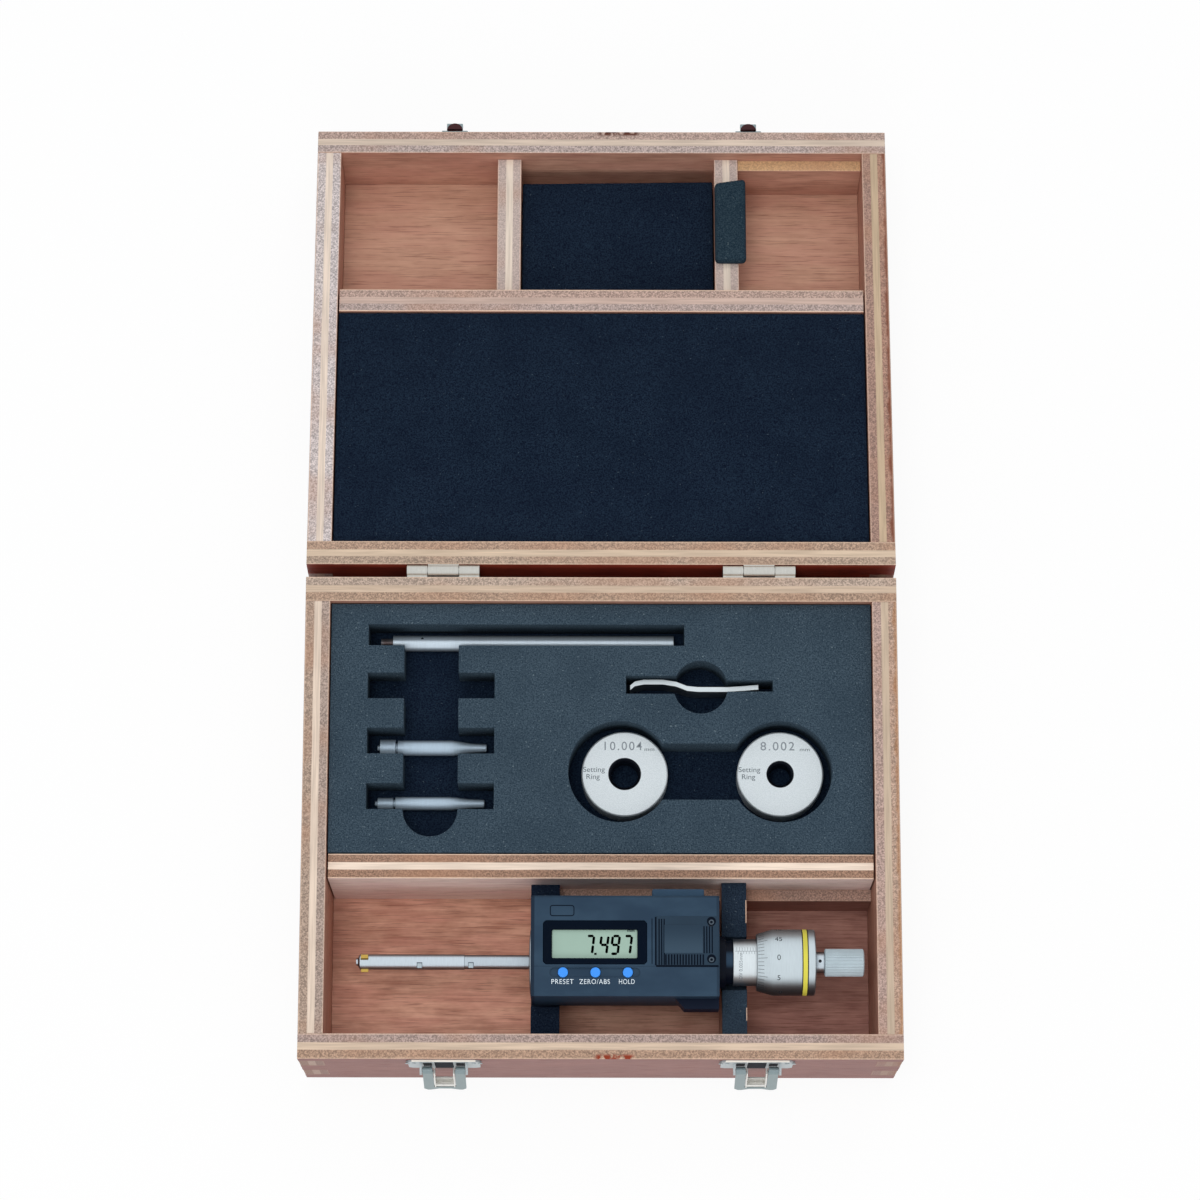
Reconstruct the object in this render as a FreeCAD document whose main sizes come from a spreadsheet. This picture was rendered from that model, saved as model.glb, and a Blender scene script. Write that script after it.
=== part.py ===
"""Micrometer case: a hinged plywood box with draw latches, foam, and the bore micrometer set that it holds.

Frame: origin at the middle of the underside of the base, +Z up, +X along the length of the case,
-Y towards the latches, +Y towards the hinges.  Millimetres.  The case is drawn with its lid laid open.
"""
import FreeCAD, Part
import math
import os
import re
import Sketcher

SIZES = {
    # plywood shells
    "case_length": 220.0,
    "case_width": 180.0,
    "base_height": 54.0,
    "lid_height": 33.0,
    "wall": 9.2,
    "panel": 5.5,
    "base_joint_start": 9.2,
    "lid_joint_start": 10.1,
    "joint_finger": 12.8,
    "layout_half": 100.8,
    # what stands in the base
    "divider_front": 23.2,
    "divider_drop": 3.5,
    "divider_play": 0.5,
    "strip_thickness": 4.4,
    "strip_top": 28.0,
    "foam_play": 0.4,
    "foam_top": 51.0,
    "foam_layer": 15.0,
    "cradle_board": 9.2,
    "left_cradle_start": -25.0,
    "left_cradle_top": 36.3,
    "right_cradle_start": 44.5,
    "right_cradle_top": 41.1,
    "lining": 1.3,
    "lining_lap": 0.7,
    # what stands in the lid
    "lid_divider_drop": 5.5,
    "lid_rail_drop": 1.2,
    "lid_left_divider": -40.3,
    "lid_right_divider": 43.7,
    "lid_foam_drop": 1.6,
    "small_foam_drop": 12.0,
    "small_foam_margin": 6.2,
    "spacer_drop": 6.3,
    "liner_thickness": 1.8,
    "clamp_pad_thickness": 4.7,
    "clamp_pad_width": 12.0,
    "clamp_pad_length": 35.0,
    # hinges
    "hinge_reach": 2.5,
    "hinge_centre": 58.9,
    "hinge_length": 27.0,
    "hinge_middle": 11.5,
    "knuckle_gap": 0.2,
    "barrel_radius": 1.9,
    "hinge_pin_radius": 1.0,
    "hinge_pin_play": 0.05,
    "leaf_thickness": 1.0,
    "leaf_height": 13.0,
    "leaf_relief": 1.8,
    "hinge_screw_pitch": 9.0,
    "hinge_screw_drop": 8.0,
    "hinge_screw_radius": 1.0,
    "hinge_screw_head": 1.9,
    "hinge_screw_length": 7.0,
    # draw latches
    "latch_centre": 57.0,
    "latch_plate_length": 26.2,
    "latch_plate_height": 17.0,
    "latch_sheet": 0.8,
    "latch_pivot_reach": 3.4,
    "latch_pivot_drop": 6.5,
    "latch_plate_rise": 4.5,
    "latch_plate_corner": 1.6,
    "ear_radius": 1.6,
    "lever_width": 15.5,
    "lever_length": 20.0,
    "lever_window": 8.0,
    "lever_tilt": 12.0,
    "lever_knuckle": 1.5,
    "lever_corner": 1.3,
    "lever_waist": 2.2,
    "lever_rise": 1.2,
    "latch_pin_radius": 0.7,
    "latch_pin_play": 0.05,
    "ear_gap": 0.2,
    "loop_pivot_drop": 3.0,
    "loop_pivot_inset": 0.4,
    "loop_width": 7.6,
    "loop_sheet": 0.5,
    "loop_reach": 14.0,
    "loop_out": 1.5,
    "loop_in": 0.9,
    "loop_plate_length": 4.5,
    "loop_curl_in": 0.6,
    "loop_curl_length": 1.6,
    "loop_pin_radius": 0.45,
    "loop_pin_play": 0.05,
    "loop_lug_radius": 1.0,
    "catch_width": 10.0,
    "catch_height": 9.0,
    "catch_lip_width": 6.2,
    "catch_rise": 0.6,
    "catch_sheet": 0.6,
    "catch_play": 0.2,
    "catch_lip_play": 0.3,
    "rivet_radius": 0.45,
    "rivet_head": 0.8,
    "rivet_length": 5.0,
    "rivet_head_height": 0.3,
    "rivet_inset": 2.2,
    "rivet_pitch": 2.4,
    "rivet_drop": 3.5,
    # micrometer, measured from its own axis
    "axis_front": 53.2,
    "axis_height": 44.5,
    "readout_left": -25.4,
    "readout_right": 43.0,
    "readout_rear": 21.5,
    "readout_front": 15.0,
    "readout_face": 20.0,
    "readout_back": 13.5,
    "readout_split": 12.0,
    "readout_crease": 4.4,
    "readout_slope": 2.0,
    "readout_bevel": 6.5,
    "readout_edge": 0.8,
    "hump_start": 27.2,
    "hump_reach": 3.8,
    "hump_depth": 9.0,
    "hump_bevel": 3.2,
    "cover_skin": 3.0,
    "cover_wall": 2.0,
    "collar_radius": 9.6,
    "collar_step_radius": 8.0,
    "collar_length": 2.6,
    "sleeve_start": 48.4,
    "sleeve_radius": 8.6,
    "thimble_start": 57.0,
    "thimble_bevel": 5.8,
    "thimble_edge_radius": 10.35,
    "thimble_radius": 12.1,
    "thimble_end": 78.5,
    "thimble_play": 0.1,
    "thimble_wall": 2.5,
    "sleeve_end_gap": 1.5,
    "spindle_radius": 1.0,
    "spindle_play": 0.1,
    "cone_setback": 3.7,
    "spindle_point": 0.2,
    "stem_radius": 2.6,
    "head_radius": 2.8,
    "head_room": 11.2,
    "head_body_length": 39.1,
    "flange_radius": 11.9,
    "flange_thickness": 0.9,
    "flange_edge": 0.4,
    "flange_shoulder": 8.0,
    "flange_dish": 0.15,
    "nose_length": 0.6,
    "nose_radius": 1.3,
    "nose_bevel": 0.8,
    "contact_setback": 1.2,
    "contact_length": 2.7,
    "contact_width": 1.6,
    "contact_radius": 3.75,
    "contact_inner": 1.3,
    "contact_play": 0.05,
    "contact_angle": 65.0,
    "ratchet_neck_radius": 3.9,
    "ratchet_neck_length": 3.5,
    "ratchet_radius": 5.05,
    "ratchet_length": 14.4,
    "ratchet_gap": 0.05,
    "edge_break": 0.5,
    "bezel_left": -21.0,
    "bezel_length": 37.8,
    "bezel_front": -3.8,
    "bezel_width": 16.1,
    "bezel_depth": 1.5,
    "bezel_corner": 1.0,
    "display_left": -17.7,
    "display_length": 30.9,
    "display_front": -1.45,
    "display_width": 10.4,
    "display_margin": 0.8,
    "display_thickness": 0.9,
    "button_radius": 1.85,
    "button_play": 0.1,
    "button_front": 6.65,
    "button_first": -13.7,
    "button_pitch": 11.75,
    "button_height": 20.1,
    "button_flange": 0.7,
    "button_flange_thickness": 0.8,
    "button_flange_gap": 0.3,
    "recess_radius": 1.7,
    "recess_floor": 18.9,
    "recess_left": -16.8,
    "recess_right": 12.6,
    "battery_left": 20.0,
    "battery_length": 22.6,
    "battery_front": -4.2,
    "battery_width": 18.1,
    "battery_depth": 1.2,
    "battery_screw_inset": 2.6,
    "battery_screw_head": 1.2,
    "battery_screw_radius": 0.6,
    "battery_screw_length": 2.0,
    "connector_left": 18.7,
    "connector_length": 18.9,
    "connector_height": 11.0,
    "connector_reach": 3.0,
    "connector_foot": 5.5,
    # loose pieces in the foam
    "lay_play": 0.1,
    "ring_radius": 16.0,
    "ring_thickness": 10.0,
    "ring_chamfer": 1.14,
    "large_bore": 5.002,
    "small_bore": 4.001,
    "large_ring_x": 8.8,
    "small_ring_x": 66.4,
    "ring_y": 16.9,
    "ring_pocket_radius": 19.0,
    "large_pocket_x": 6.9,
    "channel_width": 21.1,
    "trough_x": -63.0,
    "trough_width": 20.2,
    "trough_front": -7.6,
    "rod_slot_left": -86.5,
    "rod_slot_right": 31.0,
    "rod_slot_front": 64.6,
    "rod_slot_width": 8.0,
    "rod_left": -77.9,
    "rod_right": 27.2,
    "rod_radius": 3.0,
    "rod_stub": 4.5,
    "rod_stub_radius": 1.8,
    "rod_y": 68.0,
    "head_slot_left": -86.6,
    "head_slot_right": -39.5,
    "head_slot_width": 9.7,
    "front_row": 7.5,
    "row_pitch": 20.9,
    "large_head_left": -83.2,
    "large_head_radius": 2.85,
    "large_head_collar": 3.2,
    "small_head_left": -83.9,
    "small_head_radius": 2.5,
    "small_head_collar": 2.2,
    "head_nose_length": 1.0,
    "head_nose_radius": 1.0,
    "head_collar_length": 5.8,
    "head_groove_length": 0.8,
    "head_groove_step": 1.0,
    "head_shoulder": 28.0,
    "head_neck": 34.8,
    "head_neck_radius": 1.8,
    "head_length": 40.6,
    "head_tail_radius": 1.5,
    "head_lean": 0.5,
    "key_slot_left": 9.3,
    "key_slot_right": 63.8,
    "key_slot_front": 46.3,
    "key_slot_back": 53.1,
    "key_slot_step": 28.0,
    "key_slot_narrow_front": 47.2,
    "key_slot_narrow_back": 51.4,
    "key_hole_x": 37.0,
    "key_hole_radius": 10.0,
    "key_left": 10.8,
    "key_y": 48.8,
    "key_height": 11.0,
    "key_thickness": 1.9,
}

doc = FreeCAD.newDocument("MicrometerCase")
sheet = doc.addObject("Spreadsheet::Sheet", "Sizes")
for row, (alias, size) in enumerate(SIZES.items(), start=1):
    sheet.set(f"A{row}", alias)
    sheet.set(f"B{row}", str(size))
    sheet.setAlias(f"B{row}", alias)
doc.recompute()

# Places that several pieces share, as expressions on the sheet.
HALF_LENGTH = "(case_length / 2)"
HALF_WIDTH = "(case_width / 2)"
INNER_X = "(case_length / 2 - wall)"
INNER_Y = "(case_width / 2 - wall)"
CLOSED_TOP = "(base_height + lid_height)"
CLOSED_CEILING = "(base_height + lid_height - panel)"
DIVIDER_BACK = "(wall - divider_front)"
HINGE_Y = "(case_width / 2 + hinge_reach)"
HINGE_REACH_OUT = "(case_width + hinge_reach)"
LID_DIP = (f"(asin(base_height / hypot({HINGE_REACH_OUT}; lid_height))"
           f" - atan(lid_height / {HINGE_REACH_OUT}))")
LID_TURN = f"(-180 deg - {LID_DIP})"
FOAM_FLOOR = "(foam_top - foam_layer)"
LATCH_Y = "(-case_width / 2 - latch_pivot_reach)"
LATCH_Z = "(base_height - latch_pivot_drop)"
RAIL_FRONT = "(-divider_front)"

SIDES = (("left", -1), ("right", 1))
parts = []


# Places along X are given for an inner half-length of layout_half, and keep their distance from one end wall.
def by_left_wall(x):
    return f"({x} + layout_half - {INNER_X})"


def by_right_wall(x):
    return f"({x} - layout_half + {INNER_X})"


def bound(text):
    """An expression with every alias of the sheet written out in full."""
    return re.sub(r"[a-z_]+", lambda word: "Sizes." + word[0] if word[0] in SIZES else word[0], text)


def bind(thing, prop, text):
    thing.setExpression(prop, bound(text))


def seat(piece, x="0", y="0", z="0", in_lid=False, angle=None):
    """Places a piece; one drawn in the closed lid turns about the hinge to where the open lid lies."""
    if in_lid:
        angle = LID_TURN
        hinge_z = "base_height"
        back = f"(({y}) - {HINGE_Y})"
        up = f"(({z}) - {hinge_z})"
        y = f"{HINGE_Y} + {back} * cos({LID_TURN}) - {up} * sin({LID_TURN})"
        z = f"{hinge_z} + {back} * sin({LID_TURN}) + {up} * cos({LID_TURN})"
    if angle:
        piece.Placement = FreeCAD.Placement(FreeCAD.Vector(), FreeCAD.Rotation(FreeCAD.Vector(1, 0, 0), 10))
        bind(piece, "Placement.Rotation.Angle", angle)
    for letter, text in (("x", x), ("y", y), ("z", z)):
        bind(piece, f"Placement.Base.{letter}", text)
    return piece


def keep(piece, label):
    """Names a finished piece as a sub-part that is written out."""
    piece.Label = label
    parts.append(piece)
    return piece


def new_body(name):
    return doc.addObject("PartDesign::Body", name)


def new_sketch(body, plane, level):
    """A sketch on one of the body's own planes, moved along the plane's normal to a level."""
    sketch = body.newObject("Sketcher::SketchObject", body.Name + "_sketch")
    role = next(flat for flat in body.Origin.OriginFeatures if flat.Role == plane + "_Plane")
    sketch.AttachmentSupport = [(role, "")]
    sketch.MapMode = "FlatFace"
    bind(sketch, "AttachmentOffset.Base.z", level)
    return sketch


def fix_point(sketch, edge, end, x, y):
    """Holds one point of a sketch at bound distances from the sketch's origin."""
    for kind, text in (("DistanceX", x), ("DistanceY", y)):
        number = sketch.addConstraint(Sketcher.Constraint(kind, -1, 1, edge, end, 1.0))
        bind(sketch, f"Constraints[{number}]", text)


def outline(sketch, corners):
    """A closed outline through corners that are pairs of expressions."""
    first = sketch.GeometryCount
    count = len(corners)
    turn = 2 * math.pi / count
    round_points = [FreeCAD.Vector(math.cos(turn * i), math.sin(turn * i), 0) for i in range(count)]
    for i in range(count):
        sketch.addGeometry(Part.LineSegment(round_points[i], round_points[(i + 1) % count]), False)
    for i in range(count):
        after = first + (i + 1) % count
        sketch.addConstraint(Sketcher.Constraint("Coincident", first + i, 2, after, 1))
        fix_point(sketch, first + i, 1, *corners[i])


def disc(sketch, x, y, radius):
    edge = sketch.addGeometry(Part.Circle(FreeCAD.Vector(), FreeCAD.Vector(0, 0, 1), 1.0), False)
    fix_point(sketch, edge, 3, x, y)
    number = sketch.addConstraint(Sketcher.Constraint("Radius", edge, 1.0))
    bind(sketch, f"Constraints[{number}]", radius)


def block(x, y):
    """The four corners of a rectangle from two pairs of expressions."""
    return [(x[0], y[0]), (x[1], y[0]), (x[1], y[1]), (x[0], y[1])]


def cut_corners(x, y, cut):
    """A rectangle whose four corners are cut off."""
    left, right = x
    front, back = y
    return [(f"{left} + {cut}", front), (f"{right} - {cut}", front), (right, f"{front} + {cut}"),
            (right, f"{back} - {cut}"), (f"{right} - {cut}", back), (f"{left} + {cut}", back),
            (left, f"{back} - {cut}"), (left, f"{front} + {cut}")]


def draw(sketch, shapes):
    """Outlines are lists of corners, discs are tuples of centre and radius."""
    for shape in shapes:
        if isinstance(shape, tuple):
            disc(sketch, *shape)
        else:
            outline(sketch, shape)


def pad(body, plane, shapes, start, end):
    """Adds material between two levels along the plane's normal (Y runs against the XZ plane's)."""
    low, high = (f"-({end})", f"-({start})") if plane == "XZ" else (start, end)
    sketch = new_sketch(body, plane, low)
    draw(sketch, shapes)
    feature = body.newObject("PartDesign::Pad", body.Name + "_pad")
    feature.Profile = sketch
    bind(feature, "Length", f"({high}) - ({low})")
    return feature


def pocket(body, plane, shapes, start, end):
    """Removes material between two levels; the cut runs back along the plane's normal."""
    doc.recompute()
    before = body.Shape.Volume
    low, high = (f"-({end})", f"-({start})") if plane == "XZ" else (start, end)
    sketch = new_sketch(body, plane, high)
    draw(sketch, shapes)
    feature = body.newObject("PartDesign::Pocket", body.Name + "_pocket")
    feature.Profile = sketch
    bind(feature, "Length", f"({high}) - ({low})")
    doc.recompute()
    if body.Shape.Volume > before - 1e-6:
        raise RuntimeError(f"a pocket in {body.Name} cuts nothing")
    return feature


def padded_body(name, plane, shapes, start, end):
    body = new_body(name)
    pad(body, plane, shapes, start, end)
    return body


def board(name, x, y, z):
    """A plain rectangular board or foam block as a padded sketch."""
    return padded_body(name, "XY", [block(x, y)], *z)


def turned(name, stations, bore=None):
    """A turned piece along X from (x, radius) stations, with a straight bore if one is given."""
    inner = bore or "0"
    corners = [(stations[0][0], inner)] + list(stations) + [(stations[-1][0], inner)]
    body = new_body(name)
    sketch = new_sketch(body, "XY", "0")
    outline(sketch, corners)
    feature = body.newObject("PartDesign::Revolution", name + "_turn")
    feature.Profile = sketch
    feature.ReferenceAxis = (sketch, ["H_Axis"])
    feature.Angle = 360
    return body


def primitive(kind, name, **sizes):
    piece = doc.addObject(kind, name)
    for prop, text in sizes.items():
        bind(piece, prop, text)
    return piece


def joined(name, pieces):
    whole = doc.addObject("Part::MultiFuse", name)
    whole.Shapes = pieces
    return whole


def minus(name, base, tool):
    cut = doc.addObject("Part::Cut", name)
    cut.Base = base
    cut.Tool = tool
    return cut


def group(name, pieces):
    """Separate solids that share one node."""
    together = doc.addObject("Part::Compound", name)
    together.Links = pieces
    return together


def mirrored_x(corners):
    """The other half of an outline that is symmetric about x = 0, in drawing order."""
    return corners + [(f"-({x})", y) for x, y in reversed(corners)]


# ---------------------------------------------------------------- plywood shells

def jointed_corners(bottom, top, tongues, root, tip, tongues_stand_out):
    """Right-hand edge of a panel from bottom to top, stepping at each finger of the corner joint."""
    rest, finger = (root, tip) if tongues_stand_out else (tip, root)
    corners = [(rest, bottom)]
    for low, high in tongues:
        corners += [(rest, low), (finger, low), (finger, high), (rest, high)]
    return corners + [(rest, top)]


def shell_panels(prefix, bottom, top, tongues):
    """Four walls that meet in finger joints: the side walls' tongues pass through the long walls."""
    long_edge = jointed_corners(bottom, top, tongues, INNER_X, HALF_LENGTH, False)
    side_edge = jointed_corners(bottom, top, tongues, INNER_Y, HALF_WIDTH, True)
    walls = {}
    for name, start, end in (("front", f"-{HALF_WIDTH}", f"-{INNER_Y}"), ("back", INNER_Y, HALF_WIDTH)):
        walls[name] = padded_body(f"{prefix}_{name}_wall", "XZ", [mirrored_x(long_edge)], start, end)
    for name, start, end in (("left", f"-{HALF_LENGTH}", f"-{INNER_X}"), ("right", INNER_X, HALF_LENGTH)):
        walls[name] = padded_body(f"{prefix}_{name}_wall", "YZ", [mirrored_x(side_edge)], start, end)
    return walls


def finger(start):
    return (f"({start})", f"({start} + joint_finger)")


base_walls = shell_panels("base", "0", "base_height",
                          [finger("base_joint_start"), finger("base_joint_start + 2 * joint_finger")])
lid_walls = shell_panels("lid", "base_height", CLOSED_TOP, [finger("base_height + lid_joint_start")])
for side, direction in SIDES:
    keep(base_walls[side], f"base_{side}_panel")
    keep(seat(lid_walls[side], in_lid=True), f"lid_{side}_panel")

across = (f"-{INNER_X}", INNER_X)
keep(board("base_bottom_panel", across, (f"-{INNER_Y}", INNER_Y), ("0", "panel")), "base_bottom_panel")
keep(seat(board("lid_top_panel", across, (f"-{INNER_Y}", INNER_Y), (CLOSED_CEILING, CLOSED_TOP)), in_lid=True),
     "lid_top_panel")


# ---------------------------------------------------------------- boards in the base

short_across = (f"-{INNER_X} + divider_play", f"{INNER_X} - divider_play")
keep(board("base_divider", short_across, (RAIL_FRONT, DIVIDER_BACK), ("panel", "base_height - divider_drop")),
     "base_divider")

LEFT_CRADLE = by_right_wall("left_cradle_start")
RIGHT_CRADLE = by_right_wall("right_cradle_start")
LEFT_CRADLE_END = f"({LEFT_CRADLE} + cradle_board)"
RIGHT_CRADLE_END = f"({RIGHT_CRADLE} + cradle_board)"
strip_y = ("-divider_front - strip_thickness", RAIL_FRONT)
keep(group("base_locating_strips", [
    board("middle_strip", (LEFT_CRADLE_END, RIGHT_CRADLE), strip_y, ("panel", "strip_top")),
    board("end_strip", (RIGHT_CRADLE_END, INNER_X), strip_y, ("panel", "strip_top")),
]), "base_locating_strips")

# The left cradle is notched square for the readout; its lining is a U of foam in and over the notch, cut a
# little wider than the board.
NOTCH_FRONT = "(-axis_front - readout_front - foam_play)"
NOTCH_REAR = "(-axis_front + readout_rear + foam_play)"
NOTCH_FLOOR = "(axis_height - readout_back - foam_play)"
LEFT_RIM = "(left_cradle_top + lining)"


def notched(front, rear, floor, bottom, top):
    """Outline of a board across the compartment with a square notch in its top edge."""
    return [(f"-{INNER_Y}", bottom), (RAIL_FRONT, bottom), (RAIL_FRONT, top), (rear, top),
            (rear, floor), (front, floor), (front, top), (f"-{INNER_Y}", top)]


left_board = notched(f"{NOTCH_FRONT} - lining", f"{NOTCH_REAR} + lining", f"{NOTCH_FLOOR} - lining",
                     "panel", "left_cradle_top")
keep(padded_body("left_cradle", "YZ", [left_board], LEFT_CRADLE, LEFT_CRADLE_END), "left_cradle")
left_lining = [(f"-{INNER_Y}", "left_cradle_top"), (f"{NOTCH_FRONT} - lining", "left_cradle_top"),
               (f"{NOTCH_FRONT} - lining", f"{NOTCH_FLOOR} - lining"),
               (f"{NOTCH_REAR} + lining", f"{NOTCH_FLOOR} - lining"),
               (f"{NOTCH_REAR} + lining", "left_cradle_top"), (RAIL_FRONT, "left_cradle_top"),
               (RAIL_FRONT, LEFT_RIM), (NOTCH_REAR, LEFT_RIM), (NOTCH_REAR, NOTCH_FLOOR),
               (NOTCH_FRONT, NOTCH_FLOOR), (NOTCH_FRONT, LEFT_RIM), (f"-{INNER_Y}", LEFT_RIM)]

# The right cradle has a round saddle for the collar; its lining is a half ring with two flat ends.
SADDLE_RADIUS = "(collar_radius + foam_play)"
right_board = padded_body("right_cradle", "YZ",
                          [block((f"-{INNER_Y}", RAIL_FRONT), ("panel", "right_cradle_top"))],
                          RIGHT_CRADLE, RIGHT_CRADLE_END)
pocket(right_board, "YZ", [("-axis_front", "axis_height", f"{SADDLE_RADIUS} + lining")],
       RIGHT_CRADLE, RIGHT_CRADLE_END)
keep(right_board, "right_cradle")
right_rim = "(right_cradle_top + lining)"
saddle_lining = padded_body("saddle_lining", "YZ", [("-axis_front", "axis_height", f"{SADDLE_RADIUS} + lining")],
                            RIGHT_CRADLE, RIGHT_CRADLE_END)
pad(saddle_lining, "YZ", [block((f"-{INNER_Y}", RAIL_FRONT), ("right_cradle_top", right_rim))],
    RIGHT_CRADLE, RIGHT_CRADLE_END)
pocket(saddle_lining, "YZ", [("-axis_front", "axis_height", SADDLE_RADIUS)],
       RIGHT_CRADLE, RIGHT_CRADLE_END)
pocket(saddle_lining, "YZ", [block((f"-{INNER_Y}", RAIL_FRONT), (right_rim, "axis_height + 2 * collar_radius"))],
       RIGHT_CRADLE, RIGHT_CRADLE_END)
keep(group("cradle_linings", [
    padded_body("notch_lining", "YZ", [left_lining], f"{LEFT_CRADLE} - lining_lap",
                f"{LEFT_CRADLE_END} + lining_lap"),
    saddle_lining,
]), "cradle_linings")


# ---------------------------------------------------------------- foam in the base

foam_x = (f"-{INNER_X} + foam_play", f"{INNER_X} - foam_play")
foam_y = (f"{DIVIDER_BACK} + foam_play", f"{INNER_Y} - foam_play")
foam = board("base_foam_insert", foam_x, foam_y, (FOAM_FLOOR, "foam_top"))


def head_row(number):
    return f"(front_row + {number} * row_pitch)"


TROUGH = by_left_wall("trough_x")
TROUGH_X = (f"{TROUGH} - trough_width / 2", f"{TROUGH} + trough_width / 2")
LARGE_POCKET = by_right_wall("large_pocket_x")
SMALL_POCKET = by_right_wall("small_ring_x")
KEY_STEP = by_right_wall("key_slot_step")
TROUGH_FRONT_CENTRE = "(trough_front + trough_width / 2)"
ROD_SLOT_BACK = "(rod_slot_front + rod_slot_width)"
cutouts = [[block((by_left_wall("rod_slot_left"), by_left_wall("rod_slot_right")),
                  ("rod_slot_front", ROD_SLOT_BACK))],
           [block(TROUGH_X, (TROUGH_FRONT_CENTRE, "rod_slot_front"))],
           [(TROUGH, TROUGH_FRONT_CENTRE, "trough_width / 2")],
           [(LARGE_POCKET, "ring_y", "ring_pocket_radius")],
           [(SMALL_POCKET, "ring_y", "ring_pocket_radius")],
           [block((LARGE_POCKET, SMALL_POCKET), ("ring_y - channel_width / 2", "ring_y + channel_width / 2"))],
           [block((by_right_wall("key_slot_left"), KEY_STEP), ("key_slot_front", "key_slot_back"))],
           [block((KEY_STEP, by_right_wall("key_slot_right")),
                  ("key_slot_narrow_front", "key_slot_narrow_back"))],
           [(by_right_wall("key_hole_x"), "key_y", "key_hole_radius")]]
for number in range(3):
    row_y = head_row(number)
    cutouts.append([block((by_left_wall("head_slot_left"), by_left_wall("head_slot_right")),
                          (f"{row_y} - head_slot_width / 2", f"{row_y} + head_slot_width / 2"))])
for shapes in cutouts:
    pocket(foam, "XY", shapes, FOAM_FLOOR, "foam_top")
keep(foam, "base_foam_insert")
keep(board("base_foam_underlay", foam_x, foam_y, ("panel", FOAM_FLOOR)), "base_foam_underlay")


# ---------------------------------------------------------------- boards and foam in the lid

rail_z = ("base_height + lid_rail_drop", CLOSED_CEILING)
keep(seat(board("lid_rail", short_across, (RAIL_FRONT, DIVIDER_BACK), rail_z), in_lid=True), "lid_rail")

DIVIDER_EDGE = "(base_height + lid_divider_drop)"
LEFT_DIVIDER = by_right_wall("lid_left_divider")
RIGHT_DIVIDER = by_right_wall("lid_right_divider")
divider_y = (f"-{INNER_Y}", RAIL_FRONT)
dividers = [board(name, (x, f"{x} + wall"), divider_y, (DIVIDER_EDGE, CLOSED_CEILING))
            for name, x in (("left_divider", LEFT_DIVIDER), ("right_divider", RIGHT_DIVIDER))]
keep(seat(group("lid_divider_set", dividers), in_lid=True), "lid_dividers")

# Thin strips: a liner along the rail in two compartments and a spacer on the right-hand front wall.
liner_y = ("-divider_front - liner_thickness", RAIL_FRONT)
liner_z = (DIVIDER_EDGE, CLOSED_CEILING)
keep(seat(group("lid_strips", [
    board("middle_liner", (f"{LEFT_DIVIDER} + wall", RIGHT_DIVIDER), liner_y, liner_z),
    board("end_liner", (f"{RIGHT_DIVIDER} + wall", INNER_X), liner_y, liner_z),
    board("spacer", (f"{RIGHT_DIVIDER} + wall", INNER_X), (f"-{INNER_Y}", f"-{INNER_Y} + strip_thickness"),
          ("base_height + spacer_drop", CLOSED_CEILING)),
]), in_lid=True), "lid_strips")

keep(seat(board("lid_foam_pad", foam_x, foam_y, ("base_height + lid_foam_drop", CLOSED_CEILING)), in_lid=True),
     "lid_foam_pad")
keep(seat(board("lid_small_foam_pad",
                (f"{LEFT_DIVIDER} + wall + foam_play", f"{RIGHT_DIVIDER} - foam_play"),
                (f"-{INNER_Y} + small_foam_margin", "-divider_front - liner_thickness"),
                ("base_height + small_foam_drop", CLOSED_CEILING)), in_lid=True), "lid_small_foam_pad")
keep(seat(board("lid_clamp_pad", (RIGHT_DIVIDER, f"{RIGHT_DIVIDER} + clamp_pad_width"),
                ("-axis_front - clamp_pad_length / 2", "-axis_front + clamp_pad_length / 2"),
                (f"{DIVIDER_EDGE} - clamp_pad_thickness", DIVIDER_EDGE)), in_lid=True), "lid_clamp_pad")


# ---------------------------------------------------------------- hinges

HINGE_HALF = "(hinge_length / 2)"
MIDDLE_HALF = "(hinge_middle / 2)"
PIN_BORE = "(hinge_pin_radius + hinge_pin_play)"
LEAF_BACK = "(case_width / 2 + leaf_thickness)"
FORWARDS = "90"
BACKWARDS = "-90"


def knuckle(name, x):
    """A hinge knuckle, bored for the pin, between two places along the hinge."""
    body = padded_body(name, "YZ", [(HINGE_Y, "base_height", "barrel_radius")], *x)
    pocket(body, "YZ", [(HINGE_Y, "base_height", PIN_BORE)], *x)
    return body


def hinge_leaf(name, centre, spans, up):
    """A leaf on a back wall, with a tab up to each knuckle that it carries."""
    edge = f"(base_height + {up} * leaf_relief)"
    tip = f"(base_height + {up} * leaf_height)"
    plate_z = (edge, tip) if up > 0 else (tip, edge)
    tab_z = ("base_height", edge) if up > 0 else (edge, "base_height")
    plate_x = (f"{centre} - {HINGE_HALF}", f"{centre} + {HINGE_HALF}")
    pieces = [padded_body(name + "_plate", "XZ", [block(plate_x, plate_z)], HALF_WIDTH, LEAF_BACK)]
    for number, (start, end) in enumerate(spans):
        span_x = (f"{centre} + {start}", f"{centre} + {end}")
        pieces.append(padded_body(f"{name}_tab_{number}", "XZ", [block(span_x, tab_z)], HALF_WIDTH, LEAF_BACK))
        pieces.append(knuckle(f"{name}_knuckle_{number}", span_x))
    return joined(name, pieces)


def screw(name, x, z):
    """A countersunk screw driven forwards through a leaf into a back wall."""
    head = primitive("Part::Cone", name + "_head", Radius1="hinge_screw_head", Radius2="hinge_screw_radius",
                     Height="leaf_thickness")
    shank = primitive("Part::Cylinder", name + "_shank", Radius="hinge_screw_radius",
                      Height="hinge_screw_length")
    seat(head, x, LEAF_BACK, z, angle=FORWARDS)
    seat(shank, x, HALF_WIDTH, z, angle=FORWARDS)
    return joined(name, [head, shank])


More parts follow.
